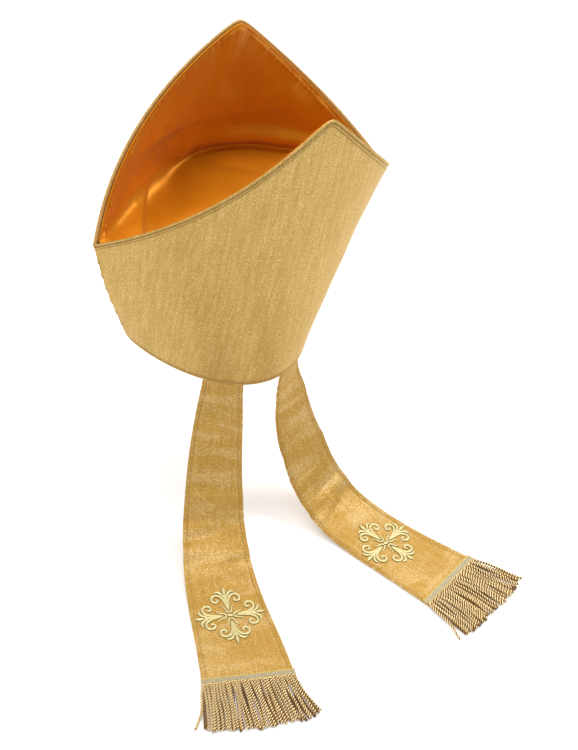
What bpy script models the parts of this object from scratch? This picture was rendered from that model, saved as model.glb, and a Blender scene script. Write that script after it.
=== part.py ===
"""Bishop's mitre with two fringed lappets, made of the pieces that it is sewn from.

Metres, +Z up. The wearer faces -Y, so the lappets hang at +Y and the wearer's left is +X.
The origin is the middle of the opening that the head goes into. The two stiff shields and
the lining between them are laid out square to the rim's own plane, and an empty leans that
plane back. The lappets hang from the back of the rim and come to rest on a level surface.
"""

import math

import bmesh
import bpy
from mathutils import Matrix, Vector
import numpy as np

# Shields: a lens-shaped outline at the rim, a wider one at the corners, and a wall drawn between them.
# The rim arches up and the wall bows out a little towards the side seams.
RIM_WIDTH = 0.2070
RIM_DEPTH = 0.2036
RIM_FULLNESS = 0.68
RIM_ARCH = 0.0035
CORNER_SPAN = 0.3356
CORNER_HEIGHT = 0.1484
CORNER_FULLNESS = 1.06
SEAM_BOW = 0.0035
FRONT_CORNER_DEPTH = 0.0900
BACK_CORNER_DEPTH = 0.0823
PEAK_HEIGHT = 0.3000
PEAK_ROUNDING = 0.0060
EDGE_BOW = 0.283
SHIELD_THICKNESS = 0.0025
LEAN = math.radians(15.5)

# Clearance between any two sewn pieces, and between the shields along their side seams
PIECE_GAP = 0.0003

# Lining: one soft sheet sewn inside all four upper edges and lying over the crown of the head
LINING_THICKNESS = 0.0012
LINING_EDGE_DROP = 0.0030
LINING_REACH = 0.96
CREASE_RADIUS = 0.0090
WALL_FOLD = 0.0065
VALLEY_FOLD = 0.0090
FOLD_WIDTH = 0.0100

# Lappets: each is cut to one length, and the right one is sewn in deeper
LAPPET_LENGTH = 0.3445
LAPPET_THICKNESS = 0.0018
LAPPET_TOP_WIDTH = 0.0400
LAPPET_END_WIDTH = 0.0860
LAPPET_BLEND = 0.0450
LAPPET_WAVE = 0.0020
LEFT_OFFSET = 0.0500
RIGHT_OFFSET = 0.0390
LEFT_TUCK = 0.0140
RIGHT_TUCK = 0.0240
REST_DROP = 0.1920

# Crosses: raised satin stitch, one on each lappet
CROSS_SPAN = 0.0720
CROSS_THICKNESS = 0.0011
CROSS_ABOVE_HEADER = 0.0760

# Fringes: a woven header sewn over the lappet's end, with a row of twisted locks
HEADER_HEIGHT = 0.0070
HEADER_THICKNESS = 0.0020
HEADER_OVERHANG = 0.0010
FRINGE_LENGTH = 0.0550
FRINGE_THICKNESS = 0.0030
LOCK_COUNT = 14
LOCK_GAP = 0.0007

# Mesh steps
SECTION_STEPS = 721
SHIELD_COLUMNS = 36
SHIELD_ROWS = 11
PEAK_CROWDING = 1.3
LINING_COLUMNS = 34
PROFILE_STEP = 0.001
ROUTE_STEP = 0.001
LAPPET_ROWS = 42
LAPPET_COLUMNS = 4
CROSS_CUTS = (-0.72, -0.44, -0.16, 0.16, 0.44, 0.72)

# The lining across the mitre: its place from one corner to the other, then heights above the
# rim as shares of the corner height: mid-valley, where it meets the front wall and the back wall
LINING_SECTIONS = [
    # place, middle, front_crease, back_crease
    (-0.96, 1.000, 0.990, 0.990),
    (-0.75, 0.955, 0.955, 0.925),
    (-0.50, 0.925, 0.935, 0.880),
    (-0.25, 0.955, 0.930, 0.850),
    (0.00, 0.965, 0.900, 0.840),
    (0.22, 0.950, 0.845, 0.835),
    (0.45, 0.915, 0.830, 0.850),
    (0.70, 0.925, 0.900, 0.910),
    (0.96, 1.000, 0.990, 0.990),
]

# Soft rolls on the lining's two walls: each runs from one place and height to another
WALL_FOLDS = [
    # wall, from_place, from_height, to_place, to_height, rise, breadth
    ("front", 0.34, 0.88, -0.05, 1.04, 0.8, 1.0),
    ("front", -0.05, 1.04, -0.62, 1.03, 1.0, 1.1),
    ("front", 0.30, 1.22, -0.42, 1.34, 0.3, 1.5),
    ("back", -0.50, 1.00, 0.50, 0.98, 0.8, 1.1),
]

# Folds that cross the valley: ends as shares of the half span (x) and the back depth (y)
VALLEY_FOLDS = [
    # from_x, from_y, to_x, to_y, rise, breadth
    (0.56, -0.62, 0.71, 0.12, 1.0, 0.9),
    (-0.62, -0.40, -0.72, 0.20, 0.6, 1.1),
]

# How a lappet falls: reach is the length below the rim as a share of the drop to the surface,
# heading turns from +X towards +Y, slope is below level, and roll turns the strip about its length
LAPPET_FALL = {
    "left": [
        # reach, heading, slope, roll
        (0.00, 39.0, 79.5, 0.0),
        (0.29, 46.0, 77.0, -1.0),
        (0.58, 56.5, 67.5, -2.5),
        (0.87, 60.0, 43.5, -3.0),
        (1.16, 64.5, 16.5, -1.5),
        (1.55, 68.0, 1.5, 0.0),
        (1.95, 65.0, 0.0, 0.0),
    ],
    "right": [
        # reach, heading, slope, roll
        (0.00, 120.5, 94.0, 0.0),
        (0.29, 113.0, 77.0, 9.0),
        (0.58, 109.0, 61.0, 14.0),
        (0.87, 108.0, 48.5, 12.0),
        (1.16, 106.0, 16.0, 6.0),
        (1.55, 105.0, 1.0, 0.0),
        (1.95, 104.5, 0.0, 0.0),
    ],
}

# Soft waves across each lappet where it bends: place and breadth as shares of its length
LAPPET_WAVES = {
    "left": [
        # place, rise, breadth
        (0.36, 0.8, 0.018),
        (0.43, -0.7, 0.020),
        (0.52, 0.9, 0.022),
    ],
    "right": [
        # place, rise, breadth
        (0.30, 0.9, 0.020),
        (0.38, -0.6, 0.020),
        (0.47, 0.8, 0.024),
    ],
}

# Half of one arm of the cross, from the centre to its tip, as shares of the half span
CROSS_HALF_ARM = [
    # across, along
    (0.070, 0.070),
    (0.040, 0.200),
    (0.050, 0.420),
    (0.110, 0.570),
    (0.190, 0.630),
    (0.180, 0.500),
    (0.270, 0.440),
    (0.390, 0.490),
    (0.430, 0.620),
    (0.360, 0.730),
    (0.270, 0.820),
    (0.140, 0.820),
    (0.060, 0.760),
    (0.050, 0.840),
]

# A lock of the fringe, from the header to its end: widths and heights as shares
LOCK_RINGS = [
    # reach, width, height, settled
    (0.12, 1.00, 1.00, 0.60),
    (0.35, 0.96, 1.05, 1.00),
    (0.70, 0.92, 1.00, 1.00),
    (1.00, 0.66, 0.60, 1.00),
]
FRINGE_SPREAD = 0.20
LOCK_SWAY = 0.0003
LOCK_RAGGED = 0.05
LOCK_SHOULDER = 0.6

LAPPETS = {
    "left": {"offset": LEFT_OFFSET, "tuck": LEFT_TUCK},
    "right": {"offset": -RIGHT_OFFSET, "tuck": RIGHT_TUCK},
}


def clear_scene():
    for old in list(bpy.data.objects):
        bpy.data.objects.remove(old, do_unlink=True)


def cloth_material(name, color, roughness, metallic, sheen=0.0):
    """A Principled material with the piece's own colour."""
    material = bpy.data.materials.new(name)
    material.use_nodes = True
    shader = material.node_tree.nodes["Principled BSDF"]
    shader.inputs["Base Color"].default_value = (*color, 1.0)
    shader.inputs["Roughness"].default_value = roughness
    shader.inputs["Metallic"].default_value = metallic
    shader.inputs["Sheen Weight"].default_value = sheen
    return material


def finish_object(name, mesh, material, parent=None):
    """Turn a closed bmesh into a named object with smooth shading."""
    bmesh.ops.recalc_face_normals(mesh, faces=mesh.faces)
    data = bpy.data.meshes.new(name)
    mesh.to_mesh(data)
    mesh.free()
    data.materials.append(material)
    data.shade_smooth()
    data.set_sharp_from_angle(angle=math.radians(40))
    piece = bpy.data.objects.new(name, data)
    bpy.context.scene.collection.objects.link(piece)
    piece.parent = parent
    return piece


def shell_mesh(outside, inside):
    """Closed cloth wall between two grids of points of the same size."""
    mesh = bmesh.new()
    rows, columns = outside.shape[:2]
    outer = [[mesh.verts.new(Vector(point)) for point in row] for row in outside]
    inner = [[mesh.verts.new(Vector(point)) for point in row] for row in inside]
    for row in range(rows - 1):
        for column in range(columns - 1):
            for grid in (outer, inner):
                mesh.faces.new((grid[row][column], grid[row][column + 1],
                                grid[row + 1][column + 1], grid[row + 1][column]))
    border = [(0, column) for column in range(columns - 1)]
    border += [(row, columns - 1) for row in range(rows - 1)]
    border += [(rows - 1, column) for column in range(columns - 1, 0, -1)]
    border += [(row, 0) for row in range(rows - 1, 0, -1)]
    for (row, column), (next_row, next_column) in zip(border, border[1:] + border[:1]):
        mesh.faces.new((outer[row][column], outer[next_row][next_column],
                        inner[next_row][next_column], inner[row][column]))
    return mesh


def smooth_curve(places, values, at):
    """Smooth curve through a table's values, read at the given places."""
    places = np.asarray(places, float)
    values = np.asarray(values, float)
    slopes = np.gradient(values, places)
    at = np.clip(at, places[0], places[-1])
    step = np.clip(np.searchsorted(places, at, side="right") - 1, 0, len(places) - 2)
    width = places[step + 1] - places[step]
    share = (at - places[step]) / width
    rest = 1 - share
    return ((1 + 2 * share) * rest ** 2 * values[step] + share * rest ** 2 * width * slopes[step]
            + share ** 2 * (3 - 2 * share) * values[step + 1] - share ** 2 * rest * width * slopes[step + 1])


def ease(share):
    """Smooth step from 0 to 1."""
    share = np.clip(share, 0.0, 1.0)
    return share * share * (3 - 2 * share)


def along_line(points, at):
    """Points of a polyline at the given lengths along it."""
    steps = np.linalg.norm(np.diff(points, axis=0), axis=1)
    travelled = np.concatenate(([0.0], np.cumsum(steps)))
    return np.stack([np.interp(at, travelled, points[:, axis]) for axis in range(points.shape[1])], axis=-1)


def line_length(points):
    return float(np.linalg.norm(np.diff(points, axis=0), axis=1).sum())


def distance_to_segment(x, y, start, end):
    """Distance of points from a straight stretch between two points of a plane."""
    run = np.subtract(end, start)
    share = np.clip(((x - start[0]) * run[0] + (y - start[1]) * run[1]) / (run @ run), 0.0, 1.0)
    return np.hypot(x - start[0] - share * run[0], y - start[1] - share * run[1])


# Shields

def half_outline(half_width, depth, fullness, inset, places):
    """Half of a lens outline seen from above, from the -X seam to the +X seam, inset from its face.

    Places run from -1 to 1 by length along the outline. Fullness 0.5 is half an ellipse, 1 a parabola.
    """
    sweep = np.linspace(-math.pi / 2, math.pi / 2, SECTION_STEPS)
    x = half_width * np.sin(sweep)
    y = depth * np.cos(sweep).clip(0.0) ** (2 * fullness)
    step_x = np.gradient(x)
    step_y = np.gradient(y)
    step = np.hypot(step_x, step_y)
    points = np.stack([x + inset * step_y / step, y - inset * step_x / step], axis=-1)
    seam = PIECE_GAP / 2
    inside = np.flatnonzero(points[:, 1] > seam)
    ends = []
    for near, beyond in ((inside[0], inside[0] - 1), (inside[-1], inside[-1] + 1)):
        share = (points[near, 1] - seam) / (points[near, 1] - points[beyond, 1])
        ends.append(points[near] + share * (points[beyond] - points[near]))
    outline = np.vstack([ends[0], points[inside], ends[1]])
    return along_line(outline, (np.asarray(places) + 1) / 2 * line_length(outline))


def wall_points(side, inset, places, heights):
    """Points on a shield's wall, inset from its outer face, in the frame of the rim's plane."""
    corner_depth = {"front": FRONT_CORNER_DEPTH, "back": BACK_CORNER_DEPTH}[side]
    facing = {"front": -1.0, "back": 1.0}[side]
    rim = half_outline(RIM_WIDTH / 2, RIM_DEPTH / 2, RIM_FULLNESS, inset, places)
    corner = half_outline(CORNER_SPAN / 2, corner_depth, CORNER_FULLNESS, inset, places)
    climb = np.asarray(heights) / CORNER_HEIGHT
    flat = rim + (corner - rim) * climb[..., None]
    flat[..., 0] *= 1 + 2 * SEAM_BOW / CORNER_SPAN * np.sin(math.pi * climb.clip(0.0, 1.0)) ** 2
    return np.stack([flat[..., 0], facing * flat[..., 1], np.broadcast_to(heights, flat.shape[:-1])], axis=-1)


def edge_height(places):
    """Height of the shields' upper edge above the rim, rounded at the peak."""
    rise = PEAK_HEIGHT - CORNER_HEIGHT
    rounding = PEAK_ROUNDING / (rise * (1 + EDGE_BOW))
    away = np.sqrt(np.square(places) + rounding ** 2 * (1 - np.square(places)))
    return CORNER_HEIGHT + rise * (1 - away) / (1 + EDGE_BOW * away)


def make_shield(side, material, parent):
    even = np.linspace(-1.0, 1.0, SHIELD_COLUMNS + 1)
    places = np.sign(even) * np.abs(even) ** PEAK_CROWDING
    top = edge_height(places)
    bottom = RIM_ARCH * places ** 2
    faces = []
    for inset in (0.0, SHIELD_THICKNESS):
        rows = [bottom + share * (top - bottom) for share in np.linspace(0.0, 1.0, SHIELD_ROWS + 1)]
        faces.append(np.stack([wall_points(side, inset, places, heights) for heights in rows]))
    return finish_object(side + "_shield", shell_mesh(*faces), material, parent)


# Lining

def wall_fold(side, places, heights):
    """How far the lining stands off a wall at its soft rolls."""
    half_girth = CORNER_SPAN / 2
    stand = np.zeros(np.broadcast(places, heights).shape)
    for wall, from_place, from_height, to_place, to_height, rise, breadth in WALL_FOLDS:
        if wall == side:
            start = (from_place * half_girth, from_height * CORNER_HEIGHT)
            end = (to_place * half_girth, to_height * CORNER_HEIGHT)
            away = distance_to_segment(places * half_girth, heights, start, end)
            stand += rise * WALL_FOLD * np.exp(-(away / (breadth * FOLD_WIDTH)) ** 2)
    return stand


def valley_fold(points):
    """How far the folds that cross the valley lift it."""
    lift = np.zeros(len(points))
    for from_x, from_y, to_x, to_y, rise, breadth in VALLEY_FOLDS:
        start = (from_x * CORNER_SPAN / 2, from_y * BACK_CORNER_DEPTH)
        end = (to_x * CORNER_SPAN / 2, to_y * BACK_CORNER_DEPTH)
        away = distance_to_segment(points[:, 0], points[:, 1], start, end)
        lift += rise * VALLEY_FOLD * np.exp(-(away / (breadth * FOLD_WIDTH)) ** 2)
    return lift


def soften(points, radius):
    """Round a polyline's corners: an even average over the radius, with its ends kept."""
    reach = max(int(round(radius / PROFILE_STEP)), 1)
    before = 2 * points[0] - points[reach:0:-1]
    after = 2 * points[-1] - points[-2:-reach - 2:-1]
    padded = np.vstack([before, points, after])
    weights = np.hanning(2 * reach + 3)[1:-1]
    weights = weights / weights.sum()
    return np.stack([np.convolve(padded[:, axis], weights, mode="valid") for axis in range(3)], axis=-1)


def lining_profile(place):
    """The lining's underside at one place: down the front wall, over the valley, up the back wall."""
    table = np.array(LINING_SECTIONS)
    middle, front_crease, back_crease = (
        float(smooth_curve(table[:, 0], table[:, column], place)) * CORNER_HEIGHT for column in (1, 2, 3))
    top = float(edge_height(place)) - LINING_EDGE_DROP
    under = SHIELD_THICKNESS + PIECE_GAP
    walls = []
    for side, crease in (("front", front_crease), ("back", back_crease)):
        heights = np.linspace(top, crease, max(int((top - crease) / PROFILE_STEP), 4))
        places = np.full(heights.shape, place)
        against = wall_points(side, under, places, heights)
        stood = wall_points(side, under + WALL_FOLD, places, heights)
        share = wall_fold(side, places, heights) * ease((top - heights) / (2 * FOLD_WIDTH)) / WALL_FOLD
        walls.append(against + (stood - against) * share[:, None])
    start = walls[0][-1]
    end = walls[1][-1]
    across = np.linspace(0.0, 1.0, max(int(np.linalg.norm(end - start) / PROFILE_STEP), 4))
    valley = start + (end - start) * across[:, None]
    valley[:, 2] += 4 * across * (1 - across) * (middle - (start[2] + end[2]) / 2)
    valley[:, 2] += valley_fold(valley) * 4 * across * (1 - across)
    sharp = np.vstack([walls[0], valley[1:-1], walls[1][::-1]])
    even = along_line(sharp, np.arange(0.0, line_length(sharp), PROFILE_STEP))
    wall_lengths = [line_length(wall) for wall in walls]
    return soften(even, min(CREASE_RADIUS, wall_lengths[0], wall_lengths[1])), wall_lengths


def profile_rows(profile, wall_lengths):
    """Rows of one profile, closer together round its two creases."""
    whole = line_length(profile)
    front, back = wall_lengths[0], whole - wall_lengths[1]
    bend = min(CREASE_RADIUS, front / 3, wall_lengths[1] / 3, (back - front) / 4)
    rows = list(np.linspace(0.0, front - bend, 5))
    rows += [front - bend / 3, front + bend / 3]
    rows += list(np.linspace(front + bend, back - bend, 7))
    rows += [back - bend / 3, back + bend / 3]
    rows += list(np.linspace(back + bend, whole, 5))
    return along_line(profile, rows)


def sheet_normals(grid):
    """Unit normals of a grid of points."""
    down = np.gradient(grid, axis=0)
    across = np.gradient(grid, axis=1)
    normals = np.cross(across, down)
    return normals / np.linalg.norm(normals, axis=-1, keepdims=True)


def make_lining(material, parent):
    places = np.linspace(-LINING_REACH, LINING_REACH, LINING_COLUMNS + 1)
    under = np.stack([profile_rows(*lining_profile(place)) for place in places], axis=1)
    normals = sheet_normals(under)
    middle = under.shape[0] // 2
    upward = 1.0 if normals[middle, under.shape[1] // 2, 2] > 0 else -1.0
    over = under + upward * LINING_THICKNESS * normals
    return finish_object("lining_gusset", shell_mesh(under, over), material, parent)


# Lappets

def lean_back(points):
    """From the frame of the rim's plane to the world."""
    turn = np.array(Matrix.Rotation(-LEAN, 3, "X"))
    return points @ turn.T


def lappet_top(side, lengths, across):
    """The lappet's middle surface where it follows the inside of the back shield."""
    whole = np.linspace(-1.0, 1.0, SECTION_STEPS)
    rim_line = half_outline(RIM_WIDTH / 2, RIM_DEPTH / 2, RIM_FULLNESS, 0.0, whole)
    places = (LAPPETS[side]["offset"] + across) / (line_length(rim_line) / 2)
    inset = SHIELD_THICKNESS + PIECE_GAP + LAPPET_THICKNESS / 2
    return lean_back(wall_points("back", inset, places, -lengths))


def landing_factor(slope, drop):
    """The factor on a route's slopes that brings its end down to the surface, by halving."""
    low, high = 0.0, 2.0
    for _ in range(40):
        factor = (low + high) / 2
        if np.sin(slope[:-1] * factor).sum() * ROUTE_STEP > drop:
            high = factor
        else:
            low = factor
    return factor


def lappet_route(side):
    """Middle line of a lappet below the rim, with its width direction and its face's normal."""
    table = np.array(LAPPET_FALL[side])
    start = lappet_top(side, np.zeros(1), np.zeros(1))[0]
    surface = -REST_DROP + LAPPET_THICKNESS / 2
    drop = start[2] - surface
    hanging = LAPPET_LENGTH - LAPPETS[side]["tuck"]
    lengths = np.arange(0.0, hanging + 2 * FRINGE_LENGTH, ROUTE_STEP)
    heading = np.radians(smooth_curve(table[:, 0] * drop, table[:, 1], lengths))
    slope = np.radians(smooth_curve(table[:, 0] * drop, table[:, 2], lengths)).clip(0.0)
    slope = slope * landing_factor(slope, drop)
    roll = np.radians(smooth_curve(table[:, 0] * drop, table[:, 3], lengths))[:, None]
    level_run = np.cos(slope)
    travel = np.stack([np.cos(heading) * level_run, np.sin(heading) * level_run, -np.sin(slope)], axis=-1)
    middle = start + np.vstack([np.zeros(3), np.cumsum(travel[:-1] * ROUTE_STEP, axis=0)])
    level = np.stack([-np.sin(heading), np.cos(heading), np.zeros(len(heading))], axis=-1)
    upright = np.cross(travel, level)
    width = level * np.cos(roll) + upright * np.sin(roll)
    normal = upright * np.cos(roll) - level * np.sin(roll)
    for place, rise, breadth in LAPPET_WAVES[side]:
        ripple = np.exp(-((lengths - place * LAPPET_LENGTH) / (breadth * LAPPET_LENGTH)) ** 2)
        middle = middle + normal * (rise * LAPPET_WAVE * ripple)[:, None]
    return {"side": side, "lengths": lengths, "middle": middle, "width": width, "normal": normal,
            "hanging": hanging}


def on_lappet(route, lengths, across, lift):
    """Points of the free part of a lappet, lifted from its middle surface."""
    def read(key):
        values = route[key]
        return np.stack([np.interp(lengths, route["lengths"], values[:, axis]) for axis in range(3)], axis=-1)
    across = np.asarray(across)[..., None]
    lift = np.asarray(lift)[..., None]
    return read("middle") + read("width") * across + read("normal") * lift


def make_lappet(route, material):
    side = route["side"]
    lengths = np.linspace(-LAPPETS[side]["tuck"], route["hanging"], LAPPET_ROWS + 1)[:, None]
    shares = np.linspace(-0.5, 0.5, LAPPET_COLUMNS + 1)[None, :]
    cut_share = (lengths + LAPPETS[side]["tuck"]) / LAPPET_LENGTH
    across = shares * (LAPPET_TOP_WIDTH + (LAPPET_END_WIDTH - LAPPET_TOP_WIDTH) * cut_share)
    lengths = np.broadcast_to(lengths, across.shape)
    # Places on the wall run towards +X, and the free strip's width runs towards -X
    sewn = lappet_top(side, lengths, -across)
    free = on_lappet(route, lengths.clip(0.0), across, np.zeros(across.shape))
    blend = ease(lengths / LAPPET_BLEND)[..., None]
    middle = sewn * (1 - blend) + free * blend
    normals = sheet_normals(middle)
    faces = [middle + share * LAPPET_THICKNESS * normals for share in (-0.5, 0.5)]
    return finish_object("lappet_" + side, shell_mesh(*faces), material)


# Crosses

def cross_outline():
    """The whole cross as one loop of points, from half an arm."""
    arm = [Vector(point) for point in CROSS_HALF_ARM]
    arm += [Vector((0.0, 1.0))]
    arm += [Vector((-across, along)) for across, along in CROSS_HALF_ARM[:0:-1]]
    outline = []
    for quarter in range(4):
        turn = Matrix.Rotation(quarter * math.pi / 2, 2)
        outline += [turn @ point for point in arm]
    return outline


def make_cross(route, material):
    """A raised cross that follows the lappet's face."""
    mesh = bmesh.new()
    half_span = CROSS_SPAN / 2
    loop = [mesh.verts.new((point.x * half_span, point.y * half_span, 0.0)) for point in cross_outline()]
    base = mesh.faces.new(loop)
    raised = bmesh.ops.extrude_face_region(mesh, geom=[base])
    for vertex in raised["geom"]:
        if isinstance(vertex, bmesh.types.BMVert):
            vertex.co.z = CROSS_THICKNESS
    for cut in CROSS_CUTS:
        geometry = mesh.verts[:] + mesh.edges[:] + mesh.faces[:]
        place = (0.0, cut * half_span, 0.0)
        bmesh.ops.bisect_plane(mesh, geom=geometry, plane_co=place, plane_no=(0.0, 1.0, 0.0))
    bmesh.ops.triangulate(mesh, faces=mesh.faces[:])
    centre = route["hanging"] - CROSS_ABOVE_HEADER
    seat = LAPPET_THICKNESS / 2 + PIECE_GAP
    for vertex in mesh.verts:
        across, along, lift = vertex.co
        vertex.co = Vector(on_lappet(route, centre + along, across, seat + lift))
    return finish_object("cross_" + route["side"], mesh, material)


# Fringes

def fringe_columns():
    """Left edge, middle and right edge of each lock along the header, from one side to the other."""
    width = LAPPET_END_WIDTH
    pitch = (width + LOCK_GAP) / LOCK_COUNT
    starts = [-width / 2 + lock * pitch for lock in range(LOCK_COUNT)]
    return [(start, start + (pitch - LOCK_GAP) / 2, start + pitch - LOCK_GAP) for start in starts]


def lock_ring(route, lock, columns, row):
    """Six points round a lock: its underside from left to right, then its top from right to left."""
    reach, width, height, settled = row
    left, centre, right = columns
    ragged = 1 + LOCK_RAGGED * math.sin(2.3 * lock)
    length = route["hanging"] + HEADER_OVERHANG + reach * FRINGE_LENGTH * ragged
    spread = 1 + FRINGE_SPREAD * reach
    middle = centre * spread + LOCK_SWAY * reach * math.sin(1.7 * lock)
    half = (right - left) / 2 * width * spread
    seat = LAPPET_THICKNESS / 2 + PIECE_GAP
    low = seat + (-LAPPET_THICKNESS / 2 - seat) * settled
    high = low + FRINGE_THICKNESS * height
    shoulder = low + FRINGE_THICKNESS * height * LOCK_SHOULDER
    across = [middle - half, middle, middle + half, middle + half, middle, middle - half]
    lifts = [low, low, low, shoulder, high, shoulder]
    return on_lappet(route, np.full(6, length), across, lifts)


def make_fringe(route, material):
    """A header band with its locks grown out of its lower edge, as one body."""
    mesh = bmesh.new()
    columns = fringe_columns()
    stations = [station for lock in columns for station in lock]
    seat = LAPPET_THICKNESS / 2 + PIECE_GAP
    ends = (route["hanging"] + HEADER_OVERHANG - HEADER_HEIGHT, route["hanging"] + HEADER_OVERHANG)
    levels = (seat, seat + HEADER_THICKNESS)
    corner = {}
    for end, length in enumerate(ends):
        for level, lift in enumerate(levels):
            for station, across in enumerate(stations):
                corner[end, level, station] = mesh.verts.new(Vector(on_lappet(route, length, across, lift)))
    last = len(stations) - 1
    for station in range(last):
        for level in (0, 1):
            mesh.faces.new((corner[0, level, station], corner[0, level, station + 1],
                            corner[1, level, station + 1], corner[1, level, station]))
        mesh.faces.new((corner[0, 0, station], corner[0, 0, station + 1],
                        corner[0, 1, station + 1], corner[0, 1, station]))
        if station % 3 == 2:
            mesh.faces.new((corner[1, 0, station], corner[1, 0, station + 1],
                            corner[1, 1, station + 1], corner[1, 1, station]))
    for station in (0, last):
        mesh.faces.new((corner[0, 0, station], corner[1, 0, station],
                        corner[1, 1, station], corner[0, 1, station]))
    for lock, edges in enumerate(columns):
        first = 3 * lock
        ring = [corner[1, 0, first + step] for step in range(3)]
        ring += [corner[1, 1, first + step] for step in (2, 1, 0)]
        for row in LOCK_RINGS:
            following = [mesh.verts.new(Vector(point)) for point in lock_ring(route, lock, edges, row)]
            for step in range(6):
                after = (step + 1) % 6
                mesh.faces.new((ring[step], ring[after], following[after], following[step]))
            ring = following
        mesh.faces.new((ring[0], ring[1], ring[4], ring[5]))
        mesh.faces.new((ring[1], ring[2], ring[3], ring[4]))
    return finish_object("fringe_" + route["side"], mesh, material)


def build():
    clear_scene()
    rim_plane = bpy.data.objects.new("rim_plane", None)
    rim_plane.rotation_euler = (-LEAN, 0.0, 0.0)
    bpy.context.scene.collection.objects.link(rim_plane)
    make_shield("front", cloth_material("front_cloth_of_gold", (0.62, 0.44, 0.16), 0.42, 0.55), rim_plane)
    make_shield("back", cloth_material("back_cloth_of_gold", (0.62, 0.44, 0.16), 0.42, 0.55), rim_plane)
    make_lining(cloth_material("lining_satin", (0.45, 0.17, 0.02), 0.35, 0.0, 0.3), rim_plane)
    for side in LAPPETS:
        route = lappet_route(side)
        make_lappet(route, cloth_material("lappet_cloth_" + side, (0.66, 0.45, 0.15), 0.45, 0.4))
        make_cross(route, cloth_material("cross_thread_" + side, (0.80, 0.72, 0.42), 0.4, 0.3))
        make_fringe(route, cloth_material("fringe_thread_" + side, (0.62, 0.52, 0.34), 0.45, 0.4))


build()
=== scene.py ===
"""Looks of the bishop's mitre: cloth of gold, satin, stitching, embroidery and bullion fringe.

Metres, +Z up, in the frame's own axes: the lappets hang at +Y and the wearer's left is +X.
The shapes repeat the frame's named sizes and add the edges, folds and threads that its plain
solids leave out.
"""

import math

import bmesh
import bpy
from mathutils import Matrix, Vector
import numpy as np


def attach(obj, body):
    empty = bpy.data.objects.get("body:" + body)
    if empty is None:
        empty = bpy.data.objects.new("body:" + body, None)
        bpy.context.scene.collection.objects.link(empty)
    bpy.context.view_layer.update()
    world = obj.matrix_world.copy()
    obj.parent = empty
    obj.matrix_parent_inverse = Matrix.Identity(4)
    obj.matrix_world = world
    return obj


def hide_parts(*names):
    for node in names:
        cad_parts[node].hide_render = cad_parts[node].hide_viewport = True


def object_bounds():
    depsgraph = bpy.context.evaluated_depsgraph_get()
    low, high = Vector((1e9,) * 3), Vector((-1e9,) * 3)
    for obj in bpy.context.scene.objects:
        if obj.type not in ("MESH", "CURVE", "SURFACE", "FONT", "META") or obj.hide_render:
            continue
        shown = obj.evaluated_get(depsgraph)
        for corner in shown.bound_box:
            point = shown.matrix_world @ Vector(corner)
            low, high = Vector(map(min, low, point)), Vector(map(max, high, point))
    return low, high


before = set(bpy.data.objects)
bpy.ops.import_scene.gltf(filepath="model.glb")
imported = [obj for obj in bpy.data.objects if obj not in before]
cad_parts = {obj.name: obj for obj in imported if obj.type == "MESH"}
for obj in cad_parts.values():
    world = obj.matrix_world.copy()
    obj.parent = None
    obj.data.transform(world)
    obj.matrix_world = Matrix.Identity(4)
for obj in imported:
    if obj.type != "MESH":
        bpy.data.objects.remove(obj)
cad_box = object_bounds()

# Shields, as in the frame
RIM_WIDTH = 0.2070
RIM_DEPTH = 0.2036
RIM_FULLNESS = 0.68
RIM_ARCH = 0.0035
CORNER_SPAN = 0.3356
CORNER_HEIGHT = 0.1484
CORNER_FULLNESS = 1.06
SEAM_BOW = 0.0035
CORNER_DEPTH = {"front": 0.0900, "back": 0.0823}
PEAK_HEIGHT = 0.3000
PEAK_ROUNDING = 0.0060
EDGE_BOW = 0.283
SHIELD_THICKNESS = 0.0025
LEAN = math.radians(15.5)
PIECE_GAP = 0.0003

# Lining, as in the frame
LINING_THICKNESS = 0.0012
LINING_EDGE_DROP = 0.0030
LINING_REACH = 0.985
CREASE_RADIUS = 0.0090
WALL_FOLD = 0.0065
VALLEY_FOLD = 0.0090
FOLD_WIDTH = 0.0100

# How slack the lining is at its front crease: least on the right, growing over a span of places
CREASE_SLACK = 0.0300
LEAST_SLACK = 0.22
SLACK_START = 0.02
SLACK_SPAN = 0.32

# Lappets, as in the frame
LAPPET_LENGTH = 0.3445
LAPPET_THICKNESS = 0.0018
LAPPET_TOP_WIDTH = 0.0400
LAPPET_END_WIDTH = 0.0860
LAPPET_BLEND = 0.0450
LAPPET_WAVE = 0.0020
REST_DROP = 0.1920
LAPPETS = {
    "left": {"offset": 0.0500, "tuck": 0.0140},
    "right": {"offset": -0.0390, "tuck": 0.0240},
}

# Crosses and fringes, as in the frame
CROSS_SPAN = 0.0720
CROSS_ABOVE_HEADER = 0.0760
HEADER_HEIGHT = 0.0082
HEADER_THICKNESS = 0.0020
HEADER_OVERHANG = 0.0010
FRINGE_LENGTH = 0.0550

# Header band: how far it sits below the frame's, its rows, and the height of its chains and weave
HEADER_SHIFT = 0.0036
HEADER_ROW = 0.00125
HEADER_CHAIN = 0.00045
HEADER_WEAVE = 0.00030
HEADER_SINK = 0.0006

# Sewn edges: distances in from the edge, and the sizes of stitches
EDGE_ROLL = 0.0014
EDGE_GROOVE = 0.0031
EDGE_STITCH = 0.0058
EDGE_PINCH = 0.0009
TURNED_EDGE = 0.0042
HEM_GROOVE = 0.0022
HEM_STITCH = 0.0040
LAPPET_GROOVE = 0.0018
LAPPET_STITCH = 0.0042
LINING_STITCH = 0.0036
STITCH_PITCH = 0.0032
STITCH_LENGTH = 0.0023
STITCH_RADIUS = 0.00026
STITCH_SIDES = 6
STITCH_SEAT = 0.0003

# Soft unevenness of a shield's face
SHIELD_UNEVENNESS = 0.00030

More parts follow.
